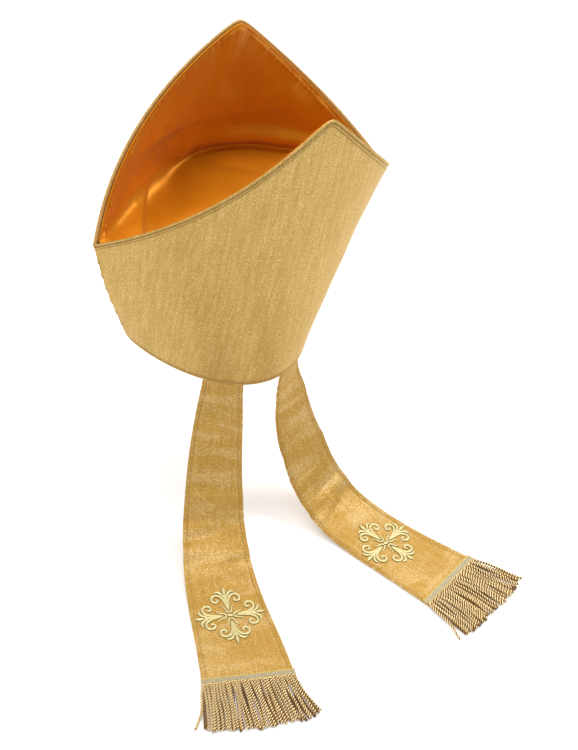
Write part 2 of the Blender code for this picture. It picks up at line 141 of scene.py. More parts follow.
# Bands along a sewn edge: depth or painted shade, what the needle holes add, distance in from the edge,
# breadth
EDGE_RELIEF = [
    (-0.00045, 0.0, EDGE_ROLL, 0.0013),
    (0.00110, 0.0, EDGE_GROOVE, 0.00050),
    (-0.00015, 0.0, (EDGE_GROOVE + EDGE_STITCH) / 2, 0.0008),
    (0.00025, 0.00045, EDGE_STITCH, 0.00060),
]
HEM_RELIEF = [
    (-0.00030, 0.0, 0.0010, 0.0010),
    (0.00060, 0.0, HEM_GROOVE, 0.00045),
    (0.00020, 0.00040, HEM_STITCH, 0.00055),
]
LAPPET_RELIEF = [
    (0.00030, 0.0, 0.0008, 0.0008),
    (-0.00025, 0.0, LAPPET_GROOVE, 0.0005),
    (0.00020, 0.0, 0.0030, 0.0008),
    (-0.00025, -0.00040, LAPPET_STITCH, 0.00055),
]
# Painted shade along the sewn edges: how much the colour is darkened in the grooves and needle holes
EDGE_PAINTED_SHADE = [(0.80, 0.0, EDGE_GROOVE, 0.0005), (0.15, 0.70, EDGE_STITCH, 0.0006)]
HEM_PAINTED_SHADE = [(0.75, 0.0, HEM_GROOVE, 0.0005), (0.15, 0.55, HEM_STITCH, 0.0006)]
LAPPET_PAINTED_SHADE = [(0.04, 0.55, LAPPET_STITCH, 0.0006)]

# Hand stitches that close the side seams
SEAM_TOP_STITCH = 0.1220
SEAM_STITCH_PITCH = 0.0195
SEAM_STITCH_COUNT = 6
SEAM_SCALLOP = 0.0011
SEAM_PULL = 0.0070
SEAM_THREAD_RADIUS = 0.00038
SEAM_LOOP_HALF = 0.0019
SEAM_LOOP_RISE = 0.0010

# Fringe cords
CORD_COUNT = 30
CORD_LOBE = 0.00092
CORD_HELIX = 0.00062
CORD_TWIST = 0.0060
CORD_TUCK = 0.0010
STRAY_MARK = 60
CLUMP_WAVES = (5.0, 8.5, 13.0)

# Mesh steps
SECTION_STEPS = 721
SHIELD_COLUMNS = 440
SHIELD_BODY_ROWS = 26
FINE_ROW = 0.00045
LINING_COLUMNS = 300
PROFILE_STEP = 0.001
CORNER_STEPS = 33
FOLD_STEPS = 40
ROUTE_STEP = 0.001
LAPPET_COLUMNS = 340
LAPPET_BODY_ROWS = 30
CORD_RINGS = 76
CORD_SIDES = 12

# The lining along its span: place, then heights of its middle, front crease and back crease
LINING_SECTIONS = [
    (-0.96, 1.000, 0.990, 0.990),
    (-0.75, 0.955, 0.955, 0.925),
    (-0.50, 0.925, 0.935, 0.880),
    (-0.25, 0.955, 0.930, 0.850),
    (0.00, 0.965, 0.900, 0.840),
    (0.22, 0.950, 0.845, 0.835),
    (0.45, 0.915, 0.830, 0.850),
    (0.70, 0.925, 0.900, 0.910),
    (0.96, 1.000, 0.990, 0.990),
]

# Soft rolls on the lining's two walls, from one place and height to another
WALL_FOLDS = [
    # wall, from_place, from_height, to_place, to_height, rise, breadth
    ("front", 0.34, 0.88, -0.05, 1.04, 0.2, 1.2),
    ("front", -0.05, 1.04, -0.62, 1.03, 0.2, 1.2),
    ("front", 0.30, 1.22, -0.42, 1.34, 0.3, 1.5),
    ("back", -0.50, 1.00, 0.50, 0.98, 0.8, 1.1),
]

# Folds that cross the valley: ends as shares of the half span (x) and the back depth (y)
VALLEY_FOLDS = [
    # from_x, from_y, to_x, to_y, rise, breadth
    (-0.62, -0.40, -0.72, 0.20, 0.6, 1.1),
]

# Gathers at the lining's sewn edges: rise, fade inwards, size of the swells, shift between walls, seed
EDGE_GATHERS = [
    (0.00080, 0.008, 0.0065, 9.0, 3),
    (0.0010, 0.030, 0.020, 7.0, 5),
]
GATHER_SLANT = 0.35
LINING_UNEVENNESS = 0.0007
LINING_ROLL = 0.00060
LINING_GROOVE = 0.00040

# Folds of the lining as lines on it: place, run above the front crease, rise, upper and lower breadth
LINING_FOLDS = {
    "long roll": [
        (-0.80, 0.004, 0.0000, 0.008, 0.006),
        (-0.56, 0.013, 0.0066, 0.008, 0.009),
        (-0.36, 0.015, 0.0082, 0.009, 0.009),
        (-0.20, 0.017, 0.0078, 0.010, 0.010),
        (-0.02, 0.021, 0.0054, 0.013, 0.011),
        (0.17, 0.024, 0.0022, 0.017, 0.014),
        (0.34, 0.026, 0.0000, 0.018, 0.014),
    ],
    "left fold": [
        (0.30, 0.036, 0.0000, 0.010, 0.005),
        (0.36, 0.024, 0.0030, 0.014, 0.004),
        (0.42, 0.008, 0.0052, 0.018, 0.004),
        (0.50, -0.006, 0.0060, 0.022, 0.004),
        (0.60, -0.020, 0.0060, 0.024, 0.004),
        (0.69, -0.033, 0.0052, 0.022, 0.004),
        (0.80, -0.047, 0.0030, 0.018, 0.005),
        (0.90, -0.060, 0.0000, 0.012, 0.005),
    ],
    "upper arc": [
        (-0.45, 0.077, 0.0000, 0.010, 0.006),
        (-0.21, 0.062, 0.0020, 0.014, 0.007),
        (0.14, 0.075, 0.0022, 0.014, 0.007),
        (0.50, 0.074, 0.0000, 0.010, 0.006),
    ],
    "middle arc": [
        (-0.46, 0.064, 0.0000, 0.008, 0.005),
        (-0.28, 0.047, 0.0016, 0.012, 0.007),
        (-0.08, 0.049, 0.0020, 0.014, 0.008),
        (0.14, 0.057, 0.0020, 0.014, 0.008),
        (0.34, 0.056, 0.0022, 0.014, 0.007),
        (0.58, 0.036, 0.0000, 0.010, 0.006),
    ],
    "dent in the crown": [
        (0.06, -0.026, 0.0000, 0.010, 0.006),
        (-0.08, -0.034, -0.0016, 0.009, 0.006),
        (-0.24, -0.046, 0.0000, 0.010, 0.006),
    ],
    "pull at the right": [
        (-0.66, 0.028, 0.0000, 0.012, 0.008),
        (-0.44, 0.050, 0.0024, 0.012, 0.008),
        (-0.30, 0.086, 0.0000, 0.012, 0.008),
    ],
    "slack of the back wall": [
        (-0.62, -0.190, 0.0000, 0.016, 0.010),
        (-0.20, -0.205, 0.0036, 0.018, 0.011),
        (0.25, -0.196, 0.0040, 0.018, 0.011),
        (0.66, -0.178, 0.0000, 0.016, 0.010),
    ],
}

# Share of a lappet's length from which it lies flat
LAPPET_LIES_FROM = 0.62

# Fall of each lappet: reach as a share of the drop, then heading, slope and roll in degrees
LAPPET_FALL = {
    "left": [
        (0.00, 39.0, 79.5, 0.0),
        (0.29, 46.0, 77.0, -1.0),
        (0.58, 56.5, 67.5, -2.5),
        (0.87, 60.0, 43.5, -3.0),
        (1.16, 64.5, 16.5, -1.5),
        (1.55, 68.0, 1.5, 0.0),
        (1.95, 65.0, 0.0, 0.0),
    ],
    "right": [
        (0.00, 120.5, 94.0, 0.0),
        (0.29, 113.0, 77.0, 9.0),
        (0.58, 109.0, 61.0, 14.0),
        (0.87, 108.0, 48.5, 12.0),
        (1.16, 106.0, 16.0, 6.0),
        (1.55, 105.0, 1.0, 0.0),
        (1.95, 104.5, 0.0, 0.0),
    ],
}

# Waves of each lappet: place and breadth as shares of its length, rise as a share of LAPPET_WAVE
LAPPET_WAVES = {
    "left": [
        (0.36, 0.8, 0.018),
        (0.43, -0.7, 0.020),
        (0.52, 0.9, 0.022),
    ],
    "right": [
        (0.30, 0.9, 0.020),
        (0.38, -0.6, 0.020),
        (0.47, 0.8, 0.024),
    ],
}

# Small creases of each lappet: from and to, as shares of its length and of a half width, rise, breadth
CREASE_HALF_WIDTH = 0.0300
CREASE_RISE = 1.8
CREASE_BREADTH = 1.3
LAPPET_CREASES = {
    "left": [
        (0.335, -0.9, 0.395, -0.1, 0.0007, 0.0030),
        (0.395, -0.1, 0.365, 0.9, 0.0006, 0.0034),
        (0.480, -0.9, 0.455, 0.3, -0.0006, 0.0040),
        (0.560, -0.2, 0.530, 0.95, 0.0006, 0.0040),
    ],
    "right": [
        (0.270, -0.8, 0.255, 0.8, 0.0005, 0.0034),
        (0.400, -0.9, 0.380, 0.5, 0.0007, 0.0040),
        (0.455, -0.3, 0.430, 0.9, -0.0007, 0.0036),
        (0.520, -0.9, 0.500, 0.1, 0.0006, 0.0036),
    ],
}

# One arm of the cross as padded strokes: points and widths as shares of the half span
CROSS_STROKES = [
    # mirrored, points as (across, along), widths along the stroke
    (False, [(0.0, 0.17), (0.0, 0.42), (0.0, 0.70)], [0.030, 0.075, 0.120]),
    (False, [(0.0, 0.70), (0.0, 0.80), (0.0, 0.97)], [0.050, 0.110, 0.015]),
    (True, [(0.0, 0.105), (0.05, 0.12), (0.082, 0.19), (0.105, 0.27), (0.185, 0.355)],
     [0.060, 0.062, 0.056, 0.045, 0.018]),
    (True, [(0.024, 0.22), (0.045, 0.40), (0.080, 0.56), (0.17, 0.675), (0.29, 0.695), (0.375, 0.62),
            (0.365, 0.51), (0.285, 0.465), (0.220, 0.52), (0.255, 0.575)],
     [0.030, 0.060, 0.085, 0.085, 0.080, 0.085, 0.085, 0.075, 0.070, 0.065]),
    (True, [(0.040, 0.60), (0.095, 0.735), (0.19, 0.800), (0.285, 0.775)], [0.035, 0.080, 0.085, 0.025]),
]
CROSS_BEAD = (0.080, 0.055)
BEAD_TURN = 0.4
CROSS_PADDING = 0.0012
THREAD_PITCH = 0.00050

# Where the cords lie: how far across their roots and tips are, and their reach beyond the header
FRINGE_FALL = {
    "left": [
        (-0.0430, -0.0490, 0.0500),
        (-0.0215, -0.0230, 0.0540),
        (0.0000, 0.0035, 0.0542),
        (0.0215, 0.0290, 0.0515),
        (0.0365, 0.0480, 0.0500),
        (0.0430, 0.0590, 0.0435),
    ],
    "right": [
        (-0.0430, -0.0510, 0.0505),
        (-0.0215, -0.0265, 0.0530),
        (0.0000, 0.0010, 0.0540),
        (0.0215, 0.0270, 0.0552),
        (0.0430, 0.0540, 0.0520),
    ],
}
STRAY_CORDS = {"left": (-0.0425, -0.0576, 0.0500), "right": (-0.0425, -0.0607, 0.0500)}

# Camera, at the photo's viewing angle
CAMERA_PLACE = (0.6654, 0.8601, 0.7111)
CAMERA_AZIMUTH = math.radians(137.92)
CAMERA_ELEVATION = math.radians(35.80)
CAMERA_ROLL = math.radians(-6.91)
CAMERA_SENSOR = 36.0
CAMERA_LENS = 61.39

# Light
WHITE = (1.0, 1.0, 1.0, 1.0)
SKY_STRENGTH = 0.62
SOFTBOXES = [
    # name, place, target, size, power
    ("top_softbox", (0.25, -0.05, 1.9), (0.0, 0.05, 0.0), 1.4, 22.0),
    ("front_softbox", (-0.9, -1.1, 1.25), (0.05, 0.20, -0.10), 0.9, 10.0),
    ("left_softbox", (1.7, 0.3, 0.8), (0.0, 0.0, 0.0), 1.2, 6.0),
    ("right_softbox", (-0.95, 0.45, 1.5), (0.0, 0.0, 0.12), 0.7, 15.0),
]

# Threads: dark colour, painted shade in the hollows; base colour; light colour, painted highlight on the
# crests; and how metallic they are where it isn't the usual
THREAD_COLORS = {
    "satin_thread": ((0.22, 0.065, 0.003), (0.40, 0.15, 0.008), (0.60, 0.27, 0.03)),
    "gold_thread": ((0.16, 0.08, 0.012), (0.36, 0.21, 0.04), (0.55, 0.36, 0.10)),
    "yellow_thread": ((0.32, 0.19, 0.025), (0.68, 0.46, 0.09), (0.92, 0.74, 0.28)),
    "silver_thread": ((0.22, 0.17, 0.08), (0.52, 0.45, 0.27), (0.92, 0.86, 0.64)),
    "bullion": ((0.030, 0.010, 0.001), (0.42, 0.21, 0.045), (1.00, 0.80, 0.42), 0.50),
}


# Shared shapes

def smooth_curve(places, values, at):
    """Smooth curve through a table's values, read at the given places."""
    places = np.asarray(places, float)
    values = np.asarray(values, float)
    slopes = np.gradient(values, places)
    at = np.clip(at, places[0], places[-1])
    step = np.clip(np.searchsorted(places, at, side="right") - 1, 0, len(places) - 2)
    width = places[step + 1] - places[step]
    share = (at - places[step]) / width
    rest = 1 - share
    return ((1 + 2 * share) * rest ** 2 * values[step] + share * rest ** 2 * width * slopes[step]
            + share ** 2 * (3 - 2 * share) * values[step + 1] - share ** 2 * rest * width * slopes[step + 1])


def ease(share):
    """Smooth step from 0 to 1."""
    share = np.clip(share, 0.0, 1.0)
    return share * share * (3 - 2 * share)


def swell(distance, breadth):
    """A soft bump, 1 in its middle."""
    return np.exp(-np.square(distance / breadth))


def beat(run, pitch=1.0):
    """A wave between 0 and 1 that is 1 once in every pitch."""
    return 0.5 + 0.5 * np.cos(2 * math.pi * run / pitch)


def bands(table, inward, holes, start=0.0):
    """Soft bands along a sewn edge, added to a start."""
    total = start
    for amount, hole_amount, place, breadth in table:
        total = total + (amount + hole_amount * holes) * swell(inward - place, breadth)
    return total


def unit(vectors):
    """Vectors brought to a length of 1."""
    return vectors / np.linalg.norm(vectors, axis=-1, keepdims=True).clip(1e-12)


def step_lengths(points):
    return np.linalg.norm(np.diff(points, axis=0), axis=1)


def line_length(points):
    return float(step_lengths(points).sum())


def travelled_length(points):
    """Length travelled at each point of a polyline."""
    return np.concatenate(([0.0], np.cumsum(step_lengths(points))))


def read_rows(at, run, rows):
    """Rows that stand at the places of a run, read at other places of it."""
    return np.stack([np.interp(at, run, column) for column in np.transpose(rows)], axis=-1)


def along_line(points, at):
    """Points of a polyline at the given lengths along it."""
    return read_rows(at, travelled_length(points), points)


def smooth_path(points, count):
    """Even points along a smooth curve through a few points."""
    points = np.asarray(points, float)
    knots = travelled_length(points)
    fine = np.linspace(0.0, knots[-1], 20 * len(points))
    curve = np.stack([smooth_curve(knots, points[:, axis], fine) for axis in range(points.shape[1])], axis=-1)
    return along_line(curve, np.linspace(0.0, line_length(curve), count))


def distance_to_segment(x, y, start, end):
    """Distance of points from a straight stretch between two points of a plane."""
    run = np.subtract(end, start)
    share = np.clip(((x - start[0]) * run[0] + (y - start[1]) * run[1]) / (run @ run), 0.0, 1.0)
    return np.hypot(x - start[0] - share * run[0], y - start[1] - share * run[1])


def unevenness(x, y, size, seed):
    """Seeded soft unevenness between about -1 and 1, with swells of the given size."""
    draws = np.random.default_rng(seed)
    total = np.zeros(np.broadcast(x, y).shape)
    for _ in range(9):
        heading = draws.uniform(0.0, 2 * math.pi)
        wave = 2 * math.pi / (size * draws.uniform(0.7, 2.2))
        phase = draws.uniform(0.0, 2 * math.pi)
        total += np.sin(wave * (x * math.cos(heading) + y * math.sin(heading)) + phase)
    return total / 4.0


def cloth_area(grid):
    """Area of a grid of points."""
    down = np.diff(grid, axis=0)[:, :-1]
    across = np.diff(grid, axis=1)[:-1]
    return float(np.linalg.norm(np.cross(across, down), axis=-1).sum())


def sheet_normals(grid):
    """Unit normals of a grid of points."""
    down = np.gradient(grid, axis=0)
    across = np.gradient(grid, axis=1)
    return unit(np.cross(across, down))


class Shape:
    """Points, faces and cloth coordinates of one piece, gathered from its surfaces."""

    def __init__(self):
        self.points = []
        self.cloth = []
        self.crest = []
        self.faces = []
        self.slots = []
        self.count = 0

    def add_grid(self, points, cloth, slots=0, crest=1.0):
        """A grid whose rows run right round, closed at both ends; each row may have its own slot."""
        rows, columns = points.shape[:2]
        row = np.arange(rows)[:, None]
        column = np.arange(columns - 1)[None, :]
        after = (row + 1) % rows
        corners = np.broadcast_arrays(row * columns + column, row * columns + column + 1,
                                      after * columns + column + 1, after * columns + column)
        faces = self.count + np.stack(corners, axis=-1)
        self.faces += faces.reshape(-1, 4).tolist()
        face_slots = np.broadcast_to(np.reshape(slots, (-1, 1)), (len(row), columns - 1))
        self.slots += face_slots.reshape(-1).tolist()
        for end in (0, columns - 1):
            self.faces.append((self.count + np.arange(rows) * columns + end).tolist())
            self.slots.append(int(face_slots[0, 0]))
        self.points.append(points.reshape(-1, 3))
        self.cloth.append(np.broadcast_to(cloth, points.shape).reshape(-1, 3))
        self.crest.append(np.broadcast_to(crest, points.shape[:2]).reshape(-1))
        self.count += rows * columns

    def to_piece(self, name, slot, *materials):
        """The finished object, riding on the hat's one body."""
        data = bpy.data.meshes.new(name)
        data.from_pydata(np.concatenate(self.points).tolist(), [], self.faces)
        data.polygons.foreach_set("material_index", self.slots)
        for material in materials:
            data.materials.append(material)
        cloth = data.attributes.new("cloth", "FLOAT_VECTOR", "POINT")
        cloth.data.foreach_set("vector", np.concatenate(self.cloth).astype(np.float32).ravel())
        crest = data.attributes.new("crest", "FLOAT", "POINT")
        crest.data.foreach_set("value", np.concatenate(self.crest).astype(np.float32))
        mesh = bmesh.new()
        mesh.from_mesh(data)
        bmesh.ops.recalc_face_normals(mesh, faces=mesh.faces)
        mesh.to_mesh(data)
        mesh.free()
        data.shade_smooth()
        piece = bpy.data.objects.new(name, data)
        bpy.context.scene.collection.objects.link(piece)
        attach(piece, "root")
        return piece


def shell_loop(over, under, turns=3):
    """Rows right round a cloth: its face, a rounded edge, its back and the other rounded edge."""
    def rounded(face_end, back_end, face_before):
        middle = (face_end + back_end) / 2
        arm = (face_end - back_end) / 2
        ahead = unit(face_end - face_before) * np.linalg.norm(arm, axis=-1, keepdims=True)
        angles = np.arange(1, turns + 1) * math.pi / (turns + 1)
        return np.stack([middle + arm * math.cos(angle) + ahead * math.sin(angle) for angle in angles])
    far = rounded(over[-1], under[-1], over[-2])
    near = rounded(over[0], under[0], over[1])
    return np.concatenate([over, far, under[::-1], near[::-1]])


def loop_cloth(cloth, turns=3):
    """Cloth coordinates for shell_loop, which carry on over the edges."""
    far = np.repeat(cloth[-1:], turns, axis=0)
    near = np.repeat(cloth[:1], turns, axis=0)
    return np.concatenate([cloth, far, cloth[::-1], near])


def add_stitches(shape, line, normals, pitch=STITCH_PITCH, length=STITCH_LENGTH, radius=STITCH_RADIUS):
    """A row of short threads along a line, each dipping into the cloth at both ends."""
    travelled = travelled_length(line)
    starts = np.arange(pitch / 2, travelled[-1] - length, pitch)
    shares = np.linspace(0.0, 1.0, 5)
    angles = np.linspace(0.0, 2 * math.pi, STITCH_SIDES, endpoint=False)
    for start in starts:
        at = start + shares * length
        centre = read_rows(at, travelled, line)
        normal = unit(read_rows(start, travelled, normals))
        side = np.cross(unit(centre[-1] - centre[0]), normal)
        centre = centre + normal * (radius * (1.5 * np.sin(math.pi * shares) - 0.6))[:, None]
        ring = side[None] * np.cos(angles)[:, None] + normal[None] * np.sin(angles)[:, None]
        thin = radius * np.array([0.55, 1.0, 1.0, 1.0, 0.55])
        points = centre[None] + ring[:, None, :] * thin[None, :, None]
        cloth = np.stack(np.broadcast_arrays(angles[:, None] * radius, at[None], start), axis=-1)
        shape.add_grid(points, cloth)


# Materials

class Surface:
    """A node material, built up link by link."""

    def __init__(self, name):
        self.material = bpy.data.materials.new(name)
        self.material.use_nodes = True
        self.tree = self.material.node_tree
        self.shader = self.tree.nodes["Principled BSDF"]

    def set(self, socket, value):
        if isinstance(value, bpy.types.NodeSocket):
            self.tree.links.new(value, socket)
        else:
            socket.default_value = value

    def finish(self, **inputs):
        for key, value in inputs.items():
            self.set(self.shader.inputs[key.replace("_", " ").title()], value)
        return self.material

    def node(self, kind, inputs=None, **settings):
        made = self.tree.nodes.new(kind)
        for key, value in settings.items():
            setattr(made, key, value)
        for key, value in (inputs or {}).items():
            self.set(made.inputs[key], value)
        return made

    def attribute(self, name, output):
        return self.node("ShaderNodeAttribute", attribute_name=name).outputs[output]

    def cloth(self, scale):
        """Cloth coordinates in metres, times a scale for each direction."""
        return self.vector("MULTIPLY", self.attribute("cloth", "Vector"), scale)

    def vector(self, operation, first, second):
        return self.node("ShaderNodeVectorMath", {0: first, 1: second}, operation=operation).outputs[0]

    def wavy(self, vector, scale, amount):
        """The vector pushed about by a soft noise, so that threads wander."""
        noise = self.node("ShaderNodeTexNoise", {"Vector": vector, "Scale": scale, "Detail": 2.0})
        push = self.vector("SUBTRACT", noise.outputs["Color"], (0.5, 0.5, 0.5))
        return self.vector("ADD", vector, self.vector("MULTIPLY", push, (amount, amount, 0.0)))

    def noise(self, vector, detail, roughness=0.5, scale=1.0):
        return self.node("ShaderNodeTexNoise", {"Vector": vector, "Scale": scale, "Detail": detail,
                                                "Roughness": roughness}).outputs[0]

    def threads(self, scale, detail, roughness=0.5, wander=None):
        """Noise over the cloth, its coordinates pushed about by wander's scale and amount."""
        vector = self.cloth(scale)
        return self.noise(self.wavy(vector, *wander) if wander else vector, detail, roughness)

    def slanting(self, scale, distortion):
        """Fine slanting bands over the cloth."""
        return self.node("ShaderNodeTexWave", {"Vector": self.cloth(scale), "Scale": 1.0,
                                               "Distortion": distortion, "Detail": 1.0},
                         wave_type="BANDS", bands_direction="DIAGONAL").outputs["Fac"]

    def cells(self, vector):
        """Small cells: random values for each, and the distance from its middle."""
        made = self.node("ShaderNodeTexVoronoi", {"Vector": vector, "Scale": 1.0})
        chances = self.node("ShaderNodeSeparateColor", {0: made.outputs["Color"]}).outputs
        return chances, made.outputs["Distance"]

    def math(self, operation, first, second):
        return self.node("ShaderNodeMath", {0: first, 1: second}, operation=operation).outputs[0]

    def total(self, *parts):
        """The sum of values, each times its weight."""
        weighted = [self.math("MULTIPLY", value, weight) for value, weight in parts]
        result = weighted[0]
        for part in weighted[1:]:
            result = self.math("ADD", result, part)
        return result

    def range(self, value, low, high, to_low=0.0, to_high=1.0):
        return self.node("ShaderNodeMapRange", {"Value": value, "From Min": low, "From Max": high,
                                                "To Min": to_low, "To Max": to_high}).outputs[0]

    def ramp(self, value, stops):
        made = self.node("ShaderNodeValToRGB", {"Fac": value})
        elements = made.color_ramp.elements
        while len(elements) < len(stops):
            elements.new(0.5)
        for element, (position, color) in zip(elements, stops):
            element.position = position
            element.color = (*color, 1.0)
        return made.outputs["Color"]

    def mix(self, factor, first, second):
        """The first colour where the factor is 0, the second where it is 1."""
        made = self.node("ShaderNodeMix", data_type="RGBA")
        for index, value in ((0, factor), (6, first), (7, second)):
            if isinstance(value, tuple):
                value = (*value, 1.0)
            self.set(made.inputs[index], value)
        return made.outputs[2]

    def bump(self, height, strength, distance):
        return self.node("ShaderNodeBump", {"Height": height, "Strength": strength,
                                            "Distance": distance}).outputs["Normal"]


def lame_material(name, dark, base, light, seam, glitter=0.0, crossed=0.0, roughness=0.42, metallic=0.6):
    """Gold lame: fine upright threads that wander, light flecks, painted shade towards the seam colour in
    grooves and needle holes, and a little glitter whose specks are painted glints.
    """
    surface = Surface(name)
    slub = surface.threads((1900.0, 560.0, 1.0), 1.5, wander=(0.30, 1.2))
    weft = surface.threads((300.0, 1900.0, 1.0), 1.0, wander=(0.30, 0.5))
    fine = surface.threads((2600.0, 1500.0, 1.0), 1.0)
    streak = surface.threads((330.0, 26.0, 1.0), 2.0, wander=(0.5, 1.0))
    broad = surface.threads((26.0, 16.0, 1.0), 3.0)
    grain = surface.total((slub, 0.55 - 0.5 * crossed), (weft, 0.5 * crossed), (fine, 0.27), (streak, 0.18))
    color = surface.ramp(grain, [(0.38, dark), (0.50, base), (0.64, light)])
    chances, middle = surface.cells(surface.wavy(surface.cloth((1500.0, 520.0, 1.0)), 0.4, 0.8))
    fleck = surface.math("MULTIPLY", surface.range(chances[1], 0.66, 0.90, 0.0, 0.42 - 0.5 * crossed),
                         surface.range(middle, 0.25, 0.55, 1.0, 0.0))
    color = surface.mix(fleck, color, light)
    color = surface.mix(surface.range(broad, 0.35, 0.65, 0.0, 0.12), color, dark)
    rough = surface.range(grain, 0.38, 0.62, roughness + 0.08, roughness - 0.06)
    if glitter > 0.0:
        chances, middle = surface.cells(surface.cloth((1700.0, 1700.0, 1.0)))
        bands = surface.threads((16.0, 62.0, 1.0), 1.5, wander=(1.0, 0.9))
        limit = surface.range(bands, 0.42, 0.66, 1.0 - 0.16 * glitter, 1.0 - 0.9 * glitter)
        color = surface.mix(surface.range(bands, 0.48, 0.62, 0.0, 0.22), color, light)
        # Glitter specks: painted glints, a near-white cream mixed into the colour, and a little less rough
        speck = surface.math("GREATER_THAN", chances[0], limit)
        speck = surface.math("MULTIPLY", speck, surface.range(middle, 0.30, 0.50, 1.0, 0.0))
        color = surface.mix(surface.math("MULTIPLY", speck, 0.80), color, (1.0, 0.90, 0.66))
        rough = surface.math("SUBTRACT", rough, surface.math("MULTIPLY", speck, 0.18))
    # Painted shade: where crest is below 1 the colour goes towards seam, the colour of the painted shade in
    # grooves and needle holes
    color = surface.mix(surface.attribute("crest", "Fac"), seam, color)
    normal = surface.bump(grain, 0.6, 0.0005)
    return surface.finish(base_color=color, roughness=rough, metallic=metallic, normal=normal,
                          specular_tint=(1.0, 0.82, 0.50, 1.0))


def satin_material(name, deep, base, light):
    """Satin: a fine twill, a broad soft shine and slow changes of tone."""
    surface = Surface(name)
    twill = surface.slanting((2600.0, 1100.0, 1.0), 1.5)
    broad = surface.threads((16.0, 24.0, 1.0), 3.0)
    streaks = surface.threads((90.0, 500.0, 1.0), 3.0, 0.6)
    tone = surface.total((broad, 0.6), (streaks, 0.4))
    color = surface.ramp(tone, [(0.30, deep), (0.52, base), (0.75, light)])
    normal = surface.bump(surface.total((twill, 0.3), (streaks, 0.7)), 0.22, 0.0003)
    rough = surface.range(tone, 0.3, 0.7, 0.42, 0.32)
    surface.shader.inputs["IOR"].default_value = 1.9
    return surface.finish(base_color=color, roughness=rough, metallic=0.35, normal=normal,
                          specular_tint=(1.0, 0.62, 0.16, 1.0), sheen_weight=0.15, sheen_roughness=0.40,
                          sheen_tint=(1.0, 0.76, 0.32, 1.0))


def thread_material(name, dark, base, light, metallic=0.4):
    """Metallic thread wound round a core: fine slanting wraps, with painted shade in its hollows and painted
    highlight on its crests.
    """
    surface = Surface(name)
    wraps = surface.slanting((2200.0, 4200.0, 1.0), 0.8)
    uneven = surface.threads((700.0, 420.0, 40.0), 3.0, 0.6)
    # The crest attribute paints shade into the hollows and highlight onto the crests
    tone = surface.total((surface.attribute("crest", "Fac"), 0.75), (uneven, 0.45), (wraps, 0.06))
    color = surface.ramp(tone, [(0.30, dark), (0.60, base), (0.90, light)])
    normal = surface.bump(wraps, 0.35, 0.00015)
    return surface.finish(base_color=color, roughness=0.38, metallic=metallic, normal=normal,
                          sheen_weight=0.2, sheen_roughness=0.4)


def embroidery_material(name, dark, base, light):
    """Satin stitch in pale gold thread: a soft gloss, a tone that changes from thread to thread, painted
    shade along each stroke's edges and painted highlight along its middle.
    """
    surface = Surface(name)
    each = surface.threads((60.0, 2400.0, 900.0), 2.0)
    # The crest attribute paints shade along the stroke edges and between threads, and highlight along the
    # middle
    tone = surface.total((surface.attribute("crest", "Fac"), 0.6), (each, 0.5))
    color = surface.ramp(tone, [(0.30, dark), (0.65, base), (0.95, light)])
    normal = surface.bump(surface.threads((500.0, 9000.0, 1.0), 1.0), 0.25, 0.00012)
    return surface.finish(base_color=color, roughness=0.34, metallic=0.25, normal=normal,
                          sheen_weight=0.3, sheen_roughness=0.3)


# Shields

def half_outline(half_width, depth, fullness, inset, places):
    """Half of a lens outline from above, from the -X seam to the +X seam, inset from its face."""
    sweep = np.linspace(-math.pi / 2, math.pi / 2, SECTION_STEPS)
    x = half_width * np.sin(sweep)
    y = depth * np.cos(sweep).clip(0.0) ** (2 * fullness)
    step_x = np.gradient(x)
    step_y = np.gradient(y)
    step = np.hypot(step_x, step_y)
    points = np.stack([x + inset * step_y / step, y - inset * step_x / step], axis=-1)
    seam = PIECE_GAP / 2
    inside = np.flatnonzero(points[:, 1] > seam)
    ends = []
    for near, beyond in ((inside[0], inside[0] - 1), (inside[-1], inside[-1] + 1)):
        share = (points[near, 1] - seam) / (points[near, 1] - points[beyond, 1])
        ends.append(points[near] + share * (points[beyond] - points[near]))
    outline = np.vstack([ends[0], points[inside], ends[1]])
    return along_line(outline, (np.asarray(places) + 1) / 2 * line_length(outline))


def both_outlines(side, inset, places):
    """A shield's half outline at the rim and at the corners."""
    return (half_outline(RIM_WIDTH / 2, RIM_DEPTH / 2, RIM_FULLNESS, inset, places),
            half_outline(CORNER_SPAN / 2, CORNER_DEPTH[side], CORNER_FULLNESS, inset, places))


def wall_points(side, inset, places, heights):
    """Points on a shield's wall, inset from its outer face, in the frame of the rim's plane."""
    facing = {"front": -1.0, "back": 1.0}[side]
    rim, corner = both_outlines(side, inset, places)
    climb = np.asarray(heights) / CORNER_HEIGHT
    flat = rim + (corner - rim) * climb[..., None]
    flat[..., 0] *= 1 + 2 * SEAM_BOW / CORNER_SPAN * np.sin(math.pi * climb.clip(0.0, 1.0)) ** 2
    return np.stack([flat[..., 0], facing * flat[..., 1], np.broadcast_to(heights, flat.shape[:-1])], axis=-1)


def edge_height(places):
    """Height of the shields' upper edge above the rim, rounded at the peak."""
    rise = PEAK_HEIGHT - CORNER_HEIGHT
    rounding = PEAK_ROUNDING / (rise * (1 + EDGE_BOW))
    away = np.sqrt(np.square(places) + rounding ** 2 * (1 - np.square(places)))
    return CORNER_HEIGHT + rise * (1 - away) / (1 + EDGE_BOW * away)


def lean_back(points):
    """From the frame of the rim's plane to the world."""
    turn = np.array(Matrix.Rotation(-LEAN, 3, "X"))
    return points @ turn.T


def half_girths(side):
    """Half of the outline's length at the rim and at the corners."""
    whole = np.linspace(-1.0, 1.0, SECTION_STEPS)
    rim, corner = both_outlines(side, 0.0, whole)
    return line_length(rim) / 2, line_length(corner) / 2


def wall_grid(side, places, heights):
    """Outer and inner face of a wall at rows of heights."""
    outer = np.stack([wall_points(side, 0.0, places, row) for row in heights])
    inner = np.stack([wall_points(side, SHIELD_THICKNESS, places, row) for row in heights])
    return outer, inner


